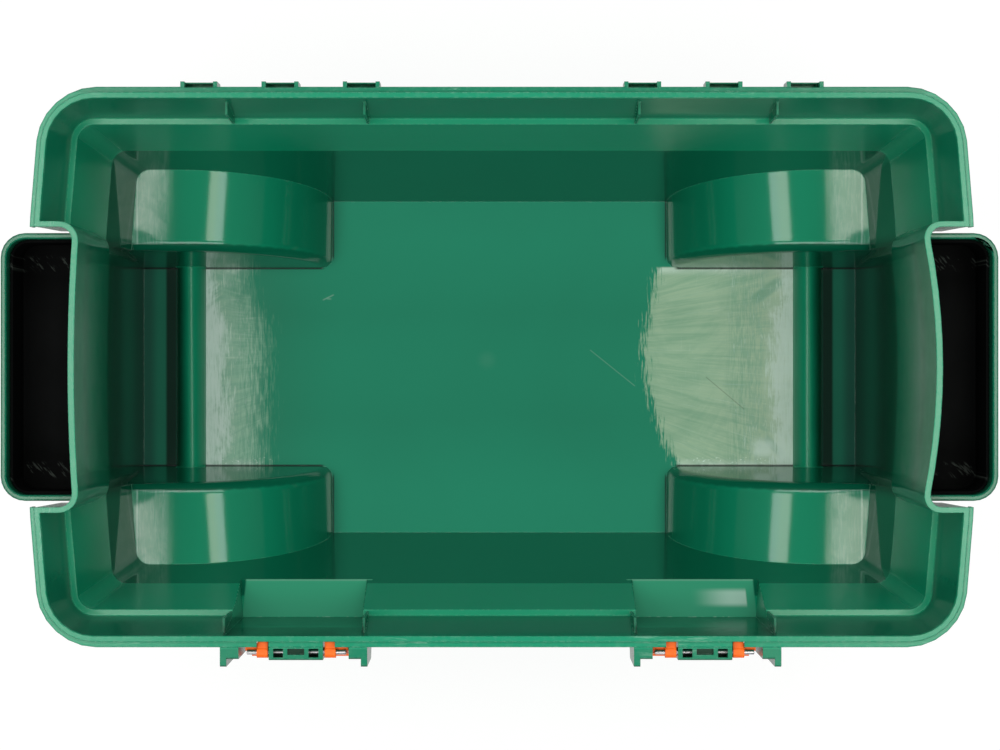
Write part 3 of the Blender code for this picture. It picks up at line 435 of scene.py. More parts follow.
def arch_top(net, far_x, far_y, z):
    """1 on the wheel arches' upper faces."""
    from_axle = net.math("MINIMUM", net.plus(far_x, -AXLE_X), 0.0)
    rise = net.plus(z, -FLOOR_Z)
    radius = net.math("SQRT", net.plus(net.times(from_axle, from_axle), net.times(rise, rise)))
    on_arch = inside(net, radius, ARCH_RADIUS - 0.0012, ARCH_RADIUS + 0.0008, 0.0004)
    beyond = net.times(
        net.span(far_y, ARCH_SIDE + 0.004, ARCH_SIDE + 0.014),
        net.span(far_x, ARCH_TOE_X - 0.0005, ARCH_TOE_X + 0.0025),
    )
    return net.times(on_arch, beyond)


def tunnel_top(net, far_x, z):
    """1 on the round ridges over the axles."""
    from_axle = net.math("ABSOLUTE", net.plus(far_x, -AXLE_X))
    near = net.span(from_axle, TUNNEL_RADIUS + 0.0005, TUNNEL_RADIUS)
    crest_z = FLOOR_Z + TUNNEL_RADIUS + 0.001
    return net.times(near, inside(net, z, FLOOR_Z + 0.0006, crest_z, 0.0004))


def housing_foot(net, far_x, y, z):
    """1 on the sloping feet of the latch housings."""
    across = inside(net, far_x, *FOOT_SPAN, 0.0010)
    slope = net.times(
        net.span(z, FOOT_LOW_Z - 0.0015, FOOT_LOW_Z + 0.0010),
        net.span(z, FOOT_HIGH_Z + 0.0012, FOOT_HIGH_Z - 0.0010),
    )
    wall = net.plus(net.times(net.plus(z, -FOOT_LOW_Z), FOOT_SLOPE), FOOT_LOW_Y)
    depth = net.math("ABSOLUTE", net.plus(y, wall))
    return net.times(net.times(across, slope), net.span(depth, 0.0040, 0.0020))


def pocket_faces(net, zone):
    """1 on the tub's faces inside the handle pockets, which get painted shade near black."""
    far_x, far_y = zone.far_x, zone.far_y
    low_x, high_x = POCKET_SPAN
    side = into_pocket(net, zone.x, zone.y)
    under = net.span(zone.z, LOOP_TOP_Z, LOOP_TOP_Z - 0.021)
    middle = net.times(
        net.span(far_x, low_x - 0.004, low_x),
        net.span(far_x, high_x + 0.0015, high_x),
    )
    middle = net.times(middle, net.span(far_y, POCKET_HALF + 0.0015, POCKET_HALF))
    middle = net.times(net.times(middle, under), net.span(side, 0.04, 0.02))
    walls = net.times(
        net.span(far_x, low_x, low_x + 0.002),
        net.span(far_y, POCKET_HALF + 0.011, POCKET_HALF + 0.009),
    )
    walls = net.times(net.times(walls, under), net.span(side, -0.03, -0.06))
    return net.math("MAXIMUM", middle, walls)


def upper_corners(net, zone):
    """1 on the rounded corners between the ledge and the polished part."""
    normal = net.add("ShaderNodeNewGeometry").outputs["Normal"]
    diagonal = net.math("MINIMUM", *(net.math("ABSOLUTE", net.axis(k, normal)) for k in range(2)))
    upper = net.times(
        net.span(zone.z, POLISH_Z, POLISH_Z + 0.004),
        net.span(zone.z, LEDGE_Z - 0.002, LEDGE_Z - 0.006),
    )
    near = net.times(net.span(zone.far_x, *CORNER_SPAN[0]), net.span(zone.far_y, *CORNER_SPAN[1]))
    near = net.times(net.times(near, upper), zone.look_in)
    return net.times(near, net.span(diagonal, 0.16, 0.34))


def floor_patches(net, zone):
    """1 on the scuffed patches at the floor's ends, which carry the softboxes' painted reflection,
    with a hairy edge towards the middle.
    """
    x, y = zone.x, zone.y
    lumps = net.plus(net.noise(40.0, 3.0, 0.6, bend=0.3), -0.5)
    hairy = net.plus(net.times(net.plus(zone.strokes, -0.5), 0.042), net.times(lumps, 0.010))
    from_bend = net.plus(y, -0.012)
    bend = net.times(net.times(from_bend, from_bend), net.span(y, -0.03, 0.04, 2.7, 1.9))
    right_x = net.math("SUBTRACT", net.math("SUBTRACT", x, bend), hairy)
    left_x = net.plus(net.plus(x, net.span(y, 0.035, 0.075, 0.0, 0.016)), net.times(hairy, 1.3))
    either = net.math("MAXIMUM", net.span(right_x, *RIGHT_PATCH), net.span(left_x, *LEFT_PATCH))
    patch = net.times(net.times(either, zone.on_floor), zone.aisle)
    return net.times(patch, net.span(zone.far_x, PATCH_END_X + 0.0020, PATCH_END_X))


def tub_zones(net):
    """Coordinates from the box's own middle, and a mask for each part of the tub."""
    zone = SimpleNamespace()
    x, high_y, z = (net.axis(k) for k in range(3))
    y = net.plus(high_y, -MIDDLE_Y)
    far_x = net.math("ABSOLUTE", x)
    far_y = net.math("ABSOLUTE", y)
    look_in = faces_in(net, x, y)
    zone.x, zone.y, zone.z, zone.far_x, zone.far_y, zone.look_in = x, y, z, far_x, far_y, look_in

    # Low down: floor, axle tunnels, arches and polished walls
    zone.on_floor = inside(net, z, FLOOR_Z - 0.0015, FLOOR_Z + 0.0005, 0.0002)
    zone.aisle = net.span(far_y, ARCH_SIDE + 0.002, ARCH_SIDE)
    zone.tunnel = tunnel_top(net, far_x, z)
    zone.arch = arch_top(net, far_x, far_y, z)
    zone.foot = housing_foot(net, far_x, y, z)
    low = net.times(net.span(z, POLISH_Z + 0.0012, POLISH_Z - 0.0012), look_in)
    zone.polished = net.times(low, net.math("SUBTRACT", 1.0, zone.foot))
    outboard = net.times(
        net.span(far_x, AXLE_X, AXLE_X + 0.010),
        net.span(z, FLOOR_Z + 0.012, FLOOR_Z + 0.004),
    )
    zone.outboard = net.times(outboard, look_in)

    # High up: ledge, neck, rim, latch housings and outer parts
    zone.ledge = inside(net, z, LEDGE_Z - 0.0015, LEDGE_Z + 0.0015, 0.0005)
    zone.neck = net.times(inside(net, z, LEDGE_Z + 0.003, RIM_Z - 0.003, 0.001), look_in)
    zone.rim = net.span(z, RIM_Z - 0.004, RIM_Z - 0.0015)
    zone.back_lip = net.times(zone.rim, net.span(y, BACK_LIP_Y - 0.0008, BACK_LIP_Y))
    housing = net.times(
        inside(net, far_x, *HOUSING_SPAN, 0.0010),
        net.span(y, HOUSING_Y + 0.0025, HOUSING_Y),
    )
    zone.housing = net.times(
        net.times(housing, look_in),
        inside(net, z, HOUSING_Z, RIM_Z - 0.0040, 0.0010),
    )
    zone.outside = net.math(
        "MAXIMUM",
        net.span(y, FRONT_PARTS_Y + 0.0008, FRONT_PARTS_Y),
        net.span(far_x, OUTSIDE_X - 0.0015, OUTSIDE_X),
    )

    # Ends: panels beside the handles, walls behind them, and pockets
    end_panel = net.times(
        net.span(far_x, END_X, END_X + 0.0012),
        net.span(far_y, END_HALF - 0.010, END_HALF),
    )
    zone.end_panel = net.times(end_panel, zone.polished)
    end_wall = net.times(
        net.span(far_x, END_X - 0.010, END_X),
        net.span(far_y, END_HALF + 0.013, END_HALF),
    )
    under = net.times(
        net.span(z, LEDGE_Z + 0.040, LEDGE_Z),
        net.span(far_x, POCKET_SPAN[0] - 0.0010, POCKET_SPAN[0] - 0.0035),
    )
    zone.end_wall = net.times(net.times(end_wall, under), look_in)
    zone.pocket = pocket_faces(net, zone)
    zone.corner = upper_corners(net, zone)

    # Wear, and the scuffed patches that carry the painted reflection
    zone.strokes, zone.across = floor_hairs(net)
    zone.cloudy = net.noise(17.0, 4.0, 0.65, bend=1.2)
    zone.clumps = net.span(net.noise(26.0, 4.0, 0.6, bend=0.8), 0.42, 0.62)
    zone.patch = floor_patches(net, zone)
    return zone


def green_with_painted_light(net, zone):
    """The moulding's green in slow clouds, with painted light and shade on each part of the tub.
    """
    cloud = net.span(net.noise(4.0, 3.0, 0.55, bend=0.5), 0.35, 0.68)
    colour = net.mix(net.times(cloud, 0.5), GREEN, GREEN_DEEP)
    shade = net.mix_value(zone.polished, PAINTED_LIGHT_AND_SHADE["satin"], PAINTED_LIGHT_AND_SHADE["polished"])
    neck = net.span(zone.y, -0.19, -0.15, *PAINTED_LIGHT_AND_SHADE["neck"])
    shade = net.times(shade, net.mix_value(zone.neck, 1.0, neck))
    shade = net.times(shade, net.mix_value(zone.housing, 1.0, PAINTED_LIGHT_AND_SHADE["housing"]))
    flat = net.math("MINIMUM", net.plus(zone.on_floor, zone.rim), 1.0)
    for part, share in (
        (flat, PAINTED_LIGHT_AND_SHADE["satin"]),
        (zone.ledge, PAINTED_LIGHT_AND_SHADE["ledge"]),
        (zone.tunnel, PAINTED_LIGHT_AND_SHADE["tunnel"]),
        (zone.arch, net.span(zone.far_x, 0.165, 0.275, *PAINTED_LIGHT_AND_SHADE["arch"])),
    ):
        shade = net.mix_value(part, shade, share)
    for part, share in (
        (zone.back_lip, PAINTED_LIGHT_AND_SHADE["back_lip"]),
        (zone.outside, PAINTED_LIGHT_AND_SHADE["outside"]),
        (zone.end_panel, by_side(net, zone.x, *PAINTED_LIGHT_AND_SHADE["end_panel"])),
        (zone.end_wall, PAINTED_LIGHT_AND_SHADE["end_wall"]),
        (zone.outboard, PAINTED_LIGHT_AND_SHADE["outboard"]),
        (zone.pocket, PAINTED_LIGHT_AND_SHADE["pocket"]),
        (zone.foot, net.span(zone.z, FOOT_HIGH_Z, FOOT_LOW_Z, *PAINTED_LIGHT_AND_SHADE["foot"])),
    ):
        shade = net.times(shade, net.mix_value(part, 1.0, share))
    return net.scaled(colour, shade)


def painted_foot_light(net, zone, colour):
    """Painted sheen on the housings' feet, a painted highlight along their lower bend, and a
    painted reflection on the right one.
    """
    right_foot_reflection = net.times(net.span(zone.x, 0.165, 0.203), net.span(zone.x, 0.2150, 0.2135))
    right_foot_reflection = net.times(right_foot_reflection, inside(net, zone.z, 0.3015, 0.3150, 0.0028))
    foot_bend_highlight = inside(net, zone.z, FOOT_LOW_Z - 0.0008, FOOT_LOW_Z + 0.0014, 0.0005)
    share = net.plus(net.times(foot_bend_highlight, 0.30), 0.13)
    colour = net.mix(net.times(zone.foot, share), colour, SCUFF_AND_SHEEN)
    return net.mix(net.times(net.times(zone.foot, right_foot_reflection), 0.52), colour, RUB_AND_REFLECTION_WHITE)


def patch_body(net, zone, wide_fan, fine_fan):
    """How strong the painted sage reflection is in the patches, from 0 to 1."""
    hair_zone = inside(net, zone.far_x, 0.2200, 0.2560, 0.010)
    on_left = net.span(zone.y, 0.01, 0.08, 0.86, 0.66)
    body = net.times(
        net.span(wide_fan, 0.30, 0.66, 0.78, 1.04),
        net.span(fine_fan, 0.35, 0.65, 1.04, 0.92),
    )
    hairs = net.span(zone.strokes, 0.38, 0.62, 0.95, 0.62)
    body = net.times(body, net.span(zone.cloudy, 0.30, 0.62, 0.80, 1.0))
    body = net.times(body, net.mix_value(hair_zone, 1.0, hairs))
    body = net.times(body, net.mix_value(by_side(net, zone.x, 0.0, 1.0), on_left, 1.0))
    for low, high, half in WEDGES:
        wedge = net.segment(zone.x, zone.y, low, high, half)
        body = net.times(body, net.span(wedge, 0.0, 1.0, 1.0, 0.45))
    return net.math("MINIMUM", body, 1.0)


def rub_and_reflection_white(net, zone):
    """Where the patches are rubbed and painted white as a reflection: strips at the tunnels, a
    corner, edges and specks.
    """
    patch, cloudy, y = zone.patch, zone.cloudy, zone.y
    ragged = net.plus(
        net.times(net.plus(cloudy, -0.5), 0.040),
        net.times(net.plus(zone.strokes, -0.5), 0.030),
    )
    start = net.plus(net.span(y, 0.02, 0.08, 0.0, -0.008), by_side(net, zone.x, -0.003, -0.001))
    strip_x = net.plus(net.plus(zone.far_x, ragged), start)
    woven = net.plus(net.times(zone.strokes, 0.5), net.times(cloudy, 0.5))
    rub_and_reflection = net.times(
        net.times(net.span(strip_x, *STRIP), patch),
        net.span(woven, 0.36, 0.58, 0.62, 1.0),
    )
    corner_x = net.plus(zone.x, net.times(net.plus(cloudy, -0.5), 0.03))
    corner = net.times(
        inside(net, corner_x, 0.2440, 0.2620, 0.006),
        inside(net, y, -0.0860, -0.0700, 0.005),
    )
    edge_dust = net.times(
        net.span(zone.far_y, ARCH_SIDE - 0.008, ARCH_SIDE - 0.001),
        net.span(cloudy, 0.35, 0.60, 0.15, 0.60),
    )
    specks = net.times(
        net.span(net.noise(330.0, 2.0, 0.6), 0.60, 0.66),
        inside(net, y, -0.0925, -0.0865, 0.001),
    )
    for more in (net.times(corner, 0.85), edge_dust, specks):
        rub_and_reflection = net.math("MAXIMUM", rub_and_reflection, net.times(more, patch))
    return rub_and_reflection


def floor_wear_and_reflection(net, zone, colour):
    """Scuffed patches painted with the softboxes' reflection, with wiped strokes and hairs in
    them, and single scratches.
    """
    x, y, patch = zone.x, zone.y, zone.patch
    wide_fan = fan(net, x, y, FAN_CENTRE, 13.0, 38.0, 5.0, 0.9)
    fine_fan = fan(net, x, y, FAN_CENTRE, 17.0, 210.0, 4.0)
    sage_reflection = net.mix(by_side(net, x, 0.0, 1.0), SAGE_REFLECTION_COOL, SAGE_REFLECTION)
    wiped = net.times(net.span(fine_fan, 0.53, 0.70), net.span(wide_fan, 0.42, 0.60))
    rub_and_reflection = rub_and_reflection_white(net, zone)
    hatch = net.math(
        "MAXIMUM",
        net.span(zone.strokes, 0.55, 0.68),
        net.times(net.span(zone.across, 0.58, 0.74), 0.6),
    )
    hatch = net.times(net.times(hatch, zone.clumps), patch)
    near_tunnel = inside(net, zone.far_x, 0.218, 0.2800, 0.012)
    for share, tone in (
        (net.times(zone.on_floor, 0.042), HAZE),
        (net.times(patch, patch_body(net, zone, wide_fan, fine_fan)), sage_reflection),
        (net.times(net.times(wiped, patch), 0.20), RUB_AND_REFLECTION_WHITE),
        (net.times(rub_and_reflection, by_side(net, x, 0.98, 0.80)), RUB_AND_REFLECTION_WHITE),
        (net.times(hatch, net.plus(net.times(near_tunnel, 0.34), 0.06)), RUB_AND_REFLECTION_WHITE),
    ):
        colour = net.mix(share, colour, tone)
    for low, high, half, strength in SCRATCHES:
        line = net.times(net.segment(x, y, low, high, half), zone.on_floor)
        tone = SCUFF_AND_SHEEN if strength > 0 else SHADOW
        colour = net.mix(net.times(line, abs(strength)), colour, tone)
    return colour, rub_and_reflection, hatch


def marks_and_painted_light(net, zone, colour):
    """A painted reflection with hair strokes on the arches' flat ends and a painted highlight line
    near the end walls, the gate mark, and painted shade past the tunnels.
    """
    arch_end = net.times(zone.arch, net.span(zone.far_x, AXLE_X + 0.001, AXLE_X + 0.008))
    arch_end_reflection = net.plus(
        net.times(net.span(zone.strokes, 0.45, 0.65), 0.13),
        net.times(zone.clumps, 0.10),
    )
    arch_end_reflection = net.plus(arch_end_reflection, 0.07)
    arch_end_reflection = net.plus(arch_end_reflection, net.times(inside(net, zone.far_x, 0.3250, 0.3266, 0.0004), 0.30))
    from_x = net.plus(zone.x, -GATE[0])
    from_y = net.plus(zone.y, -GATE[1])
    off = net.math("SQRT", net.plus(net.times(from_x, from_x), net.times(from_y, from_y)))
    gate = net.times(net.span(off, 0.0120, 0.0015), zone.on_floor)
    tunnel_foot_shade = net.times(
        net.times(inside(net, zone.far_x, *TUNNEL_FOOT_SHADE_SPAN, 0.0015), zone.aisle),
        net.span(zone.z, FLOOR_Z + 0.006, FLOOR_Z + 0.002),
    )
    colour = net.mix(net.times(arch_end, arch_end_reflection), colour, RUB_AND_REFLECTION_WHITE)
    colour = net.mix(net.times(gate, 0.06), colour, SCUFF_AND_SHEEN)
    return net.mix(net.times(tunnel_foot_shade, 0.85), colour, SHADOW)


def edge_wear_and_painted_light(net, zone, colour, round_normal):
    """Nicked edges with a painted highlight along them, streaks on the rim, painted shade in the
    creases, and specks along the housings' folds.
    """
    crease_shade = floor_crease_shade(net, zone.far_x, zone.far_y, zone.z)
    nicks = net.span(net.noise(240.0, 3.0, 0.65), 0.42, 0.70)
    spared = net.math("SUBTRACT", 1.0, net.math("MAXIMUM", crease_shade, zone.pocket))
    worn_and_highlit_edge = net.times(net.times(net.turned_off(round_normal), spared), nicks)
    along_x = net.noise(1.0, 4.0, 0.7, net.mapped(scale=(30.0, 220.0, 220.0)), 0.2)
    along_y = net.noise(1.0, 4.0, 0.7, net.mapped(scale=(220.0, 30.0, 220.0)), 0.2)
    streaky = net.mix_value(net.span(zone.far_y, 0.204, 0.212), along_y, along_x)
    flashes = net.span(net.noise(14.0, 2.0, 0.5), 0.50, 0.70)
    streaks = net.times(net.span(streaky, 0.52, 0.68), flashes)
    rim_wear = net.times(zone.rim, net.math("MAXIMUM", streaks, net.times(nicks, 0.12)))
    fold = net.times(
        inside(net, zone.z, HOUSING_Z - 0.0019, HOUSING_Z + 0.0003, 0.0004),
        inside(net, zone.far_x, HOUSING_SPAN[0] + 0.0030, HOUSING_SPAN[1] - 0.0035, 0.0010),
    )
    fold = net.times(fold, net.span(zone.y, -0.1950, -0.2050))
    fold = net.times(fold, net.span(nicks, 0.3, 0.8))
    colour = net.mix(net.times(worn_and_highlit_edge, 0.22), colour, SCUFF_AND_SHEEN)
    colour = net.mix(net.times(rim_wear, 0.40), colour, SCUFF_AND_SHEEN)
    colour = net.mix(net.times(crease_shade, 0.85), colour, SHADOW)
    colour = net.mix(net.times(net.times(fold, zone.look_in), 0.60), colour, SCUFF_AND_SHEEN)
    return colour, net.math("MAXIMUM", rim_wear, worn_and_highlit_edge)


def tub_roughness(net, zone, rub_and_reflection, hatch, wear_and_edge_highlight):
    """Set part by part, then rougher where the plastic is rubbed."""
    fine = net.plus(net.noise(80.0, 3.0, 0.6), -0.5)
    rough = net.mix_value(zone.polished, ROUGH["satin"], ROUGH["polished"])
    for part, value in (
        (zone.ledge, ROUGH["ledge"]),
        (zone.end_wall, ROUGH["end_wall"]),
        (zone.corner, ROUGH["corner"]),
        (zone.end_panel, ROUGH["end_panel"]),
        (zone.tunnel, ROUGH["tunnel"]),
        (zone.on_floor, net.span(zone.x, -0.05, 0.05, *ROUGH["floor"])),
    ):
        rough = net.mix_value(part, rough, value)
    for part, more in (
        (zone.patch, 0.12),
        (rub_and_reflection, 0.20),
        (fine, net.mix_value(zone.polished, 0.10, 0.03)),
        (hatch, 0.10),
        (wear_and_edge_highlight, 0.15),
    ):
        rough = net.plus(rough, net.times(part, more))
    return net.math("MAXIMUM", rough, 0.03)


def tub_normal(net, zone, round_normal):
    """Slight leans at the right tunnel, on the ledge and over the tunnels, strokes and a grain."""
    crown = net.times(net.span(zone.x, 0.262, 0.276), net.times(zone.on_floor, zone.aisle))
    ledge = net.times(zone.ledge, net.math("SIGN", zone.x))
    lean = net.plus(net.times(crown, 0.020), net.times(ledge, 0.030))
    lean = net.plus(lean, net.times(net.times(zone.tunnel, net.axis(0, round_normal)), 1.5))
    grain = net.bump(net.noise(900.0, 2.0, 0.5), 0.06, 0.0002, round_normal)
    wave = net.bump(net.noise(16.0, 2.0, 0.5), 0.10, 0.0010, grain)
    hair_height = net.times(net.plus(zone.strokes, net.times(zone.across, 0.6)), zone.on_floor)
    return net.bump(hair_height, 1.0, 0.000012, net.tilted(wave, lean))


def green_plastic():
    """The tub: satin above, polished below, with painted light and shade on its parts, a rubbed
    floor with painted reflections, and worn edges with painted highlights.
    """
    net = Net("green_plastic")
    zone = tub_zones(net)
    round_normal = net.rounded(0.0012)
    colour = painted_foot_light(net, zone, green_with_painted_light(net, zone))
    colour, rub_and_reflection, hatch = floor_wear_and_reflection(net, zone, colour)
    colour = marks_and_painted_light(net, zone, colour)
    colour, wear_and_edge_highlight = edge_wear_and_painted_light(net, zone, colour, round_normal)
    return net.set(
        Base_Color=colour,
        Roughness=tub_roughness(net, zone, rub_and_reflection, hatch, wear_and_edge_highlight),
        Normal=tub_normal(net, zone, round_normal),
        Specular_IOR_Level=0.42,
    )


def wheel_plastic():
    """Black wheels and caps, a little dusty."""
    net = Net("wheel_black_grain")
    dust = net.span(net.noise(30.0, 4.0, 0.6), 0.50, 0.75)
    tone = net.mix(net.times(dust, 0.35), WHEEL_BLACK, WHEEL_DUST)
    rough = net.plus(net.times(net.noise(60.0, 3.0, 0.6), 0.2), 0.42)
    normal = net.bump(net.noise(500.0, 2.0, 0.5), 0.25, 0.0003, net.rounded(0.0006))
    return net.set(Base_Color=tone, Roughness=rough, Normal=normal)


def pocket_black():
    """The liners: near black, with a few pale diagonal streaks close to each end."""
    net = Net("pocket_black")
    along = net.math("ABSOLUTE", net.math("SUBTRACT", net.axis(1), MIDDLE_Y))
    near_end = net.times(net.span(along, 0.078, 0.082), net.span(along, 0.090, 0.094, 1.0, 0.0))
    streak = net.lines(-0.85, 420.0, 70.0, 0.57, 0.66)
    marks = net.times(near_end, streak)
    tone = net.mix(net.times(marks, 0.12), LINER_BLACK, LINER_MARK)
    rough = net.plus(net.times(net.noise(50.0, 3.0, 0.6), 0.15), 0.60)
    return net.set(Base_Color=tone, Roughness=rough, Specular_IOR_Level=0.06)


def orange_plastic():
    """The latch levers, in a slightly uneven orange."""
    net = Net("orange_plastic")
    shade = net.span(net.noise(60.0, 3.0, 0.55), 0.35, 0.70)
    tone = net.mix(net.times(shade, 0.5), ORANGE, ORANGE_DEEP)
    rough = net.plus(net.times(net.noise(120.0, 3.0, 0.6), 0.18), 0.36)
    normal = net.bump(net.noise(700.0, 2.0, 0.5), 0.15, 0.0002, net.rounded(0.0008))
    return net.set(Base_Color=tone, Roughness=rough, Normal=normal, Specular_IOR_Level=0.30)


def drawn_steel(name, along_x):
    """Bright drawn bar with fine lines round it and a few dull spots."""
    net = Net(name)
    scale = (500.0, 60.0, 60.0) if along_x else (60.0, 500.0, 60.0)
    fine = net.noise(1.0, 2.0, 0.6, net.mapped(scale=scale))
    dull = net.span(net.noise(45.0, 3.0, 0.6), 0.50, 0.70)
    tone = net.mix(net.times(dull, 0.5), STEEL, STEEL_DULL)
    rough = net.plus(net.plus(net.times(fine, 0.10), net.times(dull, 0.18)), 0.24)
    return net.set(Base_Color=tone, Roughness=rough, Metallic=1.0)


def tread_rubber():
    """Dull tyres with dust on them."""
    net = Net("tread_rubber")
    dust = net.span(net.noise(35.0, 4.0, 0.65), 0.45, 0.72)
    tone = net.mix(net.times(dust, 0.55), RUBBER, RUBBER_DUST)
    rough = net.plus(net.times(net.noise(80.0, 2.0, 0.6), 0.2), 0.68)
    normal = net.bump(net.noise(600.0, 3.0, 0.6), 0.35, 0.0004)
    return net.set(Base_Color=tone, Roughness=rough, Normal=normal)


def new_object(name, bm):
    bmesh.ops.recalc_face_normals(bm, faces=bm.faces)
    mesh = bpy.data.meshes.new(name)
    bm.to_mesh(mesh)
    bm.free()
    obj = bpy.data.objects.new(name, mesh)
    bpy.context.scene.collection.objects.link(obj)
    return obj


def finish_mesh(obj, material):
    obj.data.materials.append(material)
    obj.data.shade_smooth()
    obj.data.set_sharp_from_angle(angle=SHARP_ANGLE)


def skin(bm, rings, closed):
    """Faces between rings of equally many points. Open ones get a cap at each end."""
    rows = [[bm.verts.new(point) for point in ring] for ring in rings]
    pairs = list(zip(rows, rows[1:]))
    if closed:
        pairs.append((rows[-1], rows[0]))
    for low, high in pairs:
        for k, first in enumerate(low):
            after = (k + 1) % len(low)
            bm.faces.new((first, low[after], high[after], high[k]))
    if not closed:
        bm.faces.new(rows[0])
        bm.faces.new(rows[-1])


def turned(bm, profile_at, steps, centre, side):
    """A ring turned about the Y axis through a centre, from the closed profile at each step."""
    rings = []
    for k in range(steps):
        turn = math.tau * (k + 0.5) / steps
        rings.append([
            (centre[0] + r * math.cos(turn), centre[1] + side * y, centre[2] + r * math.sin(turn))
            for r, y in profile_at(k)
        ])
    skin(bm, rings, True)


def softened(profile, amount):
    """Cuts each corner of a closed profile, so that its edges catch the light."""
    points = []
    for k, here in enumerate(profile):
        for other in (profile[k - 1], profile[(k + 1) % len(profile)]):
            far = math.dist(here, other)
            share = min(amount, far / 3) / far
            points.append(tuple(a + (b - a) * share for a, b in zip(here, other)))
    return points


def wheel_profile():
    """The wheel's section: hub, web and rim."""
    low, high = WEB_OFFSET - WEB_HALF, WEB_OFFSET + WEB_HALF
    return softened([
        (BORE_RADIUS, HUB_IN),
        (HUB_RADIUS, HUB_IN),
        (HUB_RADIUS, low),
        (RIM_INNER, low),
        (RIM_INNER, -SEAT_HALF),
        (RIM_OUTER, -SEAT_HALF),
        (RIM_OUTER, SEAT_HALF),
        (RIM_INNER, SEAT_HALF),
        (RIM_INNER, high),
        (HUB_RADIUS, high),
        (HUB_RADIUS, HUB_OUT),
        (BORE_RADIUS, HUB_OUT),
    ], SOFT_EDGE)


def add_spoke(bm, turn, centre, side):
    """A thin rib from the hub to the rim, a little thicker at the hub."""
    high = SEAT_HALF - SPOKE_RECESS
    rings = []
    for reach, half in (
        (HUB_RADIUS - SOFT_EDGE, SPOKE_HALF_HUB),
        (RIM_INNER + SOFT_EDGE, SPOKE_HALF_RIM),
    ):
        section = softened([(-half, -high), (half, -high), (half, high), (-half, high)], half / 2)
        rings.append([
            (
                centre[0] + reach * math.cos(turn) - across * math.sin(turn),
                centre[1] + side * y,
                centre[2] + reach * math.sin(turn) + across * math.cos(turn),
            )
            for across, y in section
        ])
    skin(bm, rings, False)


def tread_profile(step):
    """The tyre's section: a groove round its middle, and cut edges at every few steps."""
    cut = TREAD_CUT if step % TREAD_PERIOD == 0 else 0.0
    half = [
        (TREAD_RADIUS - 0.0025, 0.0008),
        (TREAD_RADIUS - 0.0003, 0.0016),
        (TREAD_RADIUS, 0.0022),
        (TREAD_RADIUS, 0.0098),
        (TREAD_RADIUS - cut, 0.0106),
        (TREAD_RADIUS - cut, 0.0180),
        (TREAD_RADIUS - 0.0010 - cut, 0.0205),
        (TREAD_RADIUS - 0.0025 - cut / 2, 0.0223),
        (0.0950, 0.0235),
        (0.0923, 0.0240),
        (0.0893, 0.0236),
        (0.0868, 0.0224),
        (SEAT_RADIUS, SEAT_HALF),
    ]
    return [(radius, -y) for radius, y in half[::-1]] + half


def cap_profile(_step):
    """The axle cap's section, with a rounded outer edge."""
    points = [(BORE_RADIUS, 0.0), (CAP_RADIUS, 0.0)]
    for step in range(7):
        turn = CAP_STEP * step
        points.append((
            CAP_RADIUS - CAP_ROUND * (1 - math.cos(turn)),
            CAP_LENGTH - CAP_ROUND * (1 - math.sin(turn)),
        ))
    dish = CAP_LENGTH - CAP_WALL
    return points + [(CAP_EYE, CAP_LENGTH), (CAP_EYE, dish), (BORE_RADIUS, dish)]


def make_wheels(black, rubber):
    """Finer wheels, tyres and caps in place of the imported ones, on the same axles."""
    profile = wheel_profile()
    for depth, side in (("front", -1), ("back", 1)):
        for end, side_x in (("left", -1), ("right", 1)):
            where = f"{depth}_{end}"
            low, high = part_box(f"tyre_{where}")
            centre = (side_x * AXLE_X, (low[1] + high[1]) / 2, AXLE_Z)
            bm = bmesh.new()
            turned(bm, lambda _step: profile, TURN_STEPS, centre, side)
            for k in range(SPOKES):
                add_spoke(bm, math.tau * (k + 0.5) / SPOKES, centre, side)
            wheel = new_object(f"fine_wheel_{where}", bm)
            bm = bmesh.new()
            turned(bm, tread_profile, TREAD_STEPS, centre, side)
            tyre = new_object(f"fine_tyre_{where}", bm)
            bm = bmesh.new()
            seat = (centre[0], centre[1] + side * (HUB_OUT + SEAT_GAP), centre[2])
            turned(bm, cap_profile, TURN_STEPS // 2, seat, side)
            cap = new_object(f"fine_cap_{where}", bm)
            for piece, node, material, slot, body in (
                (wheel, "wheel", black, "wheel_black", f"{where}_wheel"),
                (tyre, "tyre", rubber, "tyre_rubber", f"{where}_wheel"),
                (cap, "axle_cap", black, "wheel_black", "tub"),
            ):
                finish_mesh(piece, material)
                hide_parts(f"{node}_{where}")
                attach(piece, body)


def smooth_packed(obj):
    """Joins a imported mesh's corners, so that it shades smoothly between its sharp edges."""
    for name in ("custom_normal", "sharp_face"):
        attribute = obj.data.attributes.get(name)
        if attribute is not None:
            obj.data.attributes.remove(attribute)
    obj.data.shade_smooth()
    weld = obj.modifiers.new("weld", "WELD")
    weld.merge_threshold = 0.00001
    split = obj.modifiers.new("split", "EDGE_SPLIT")
    split.split_angle = SHARP_ANGLE
    weighted = obj.modifiers.new("weighted", "WEIGHTED_NORMAL")
    weighted.weight = 75


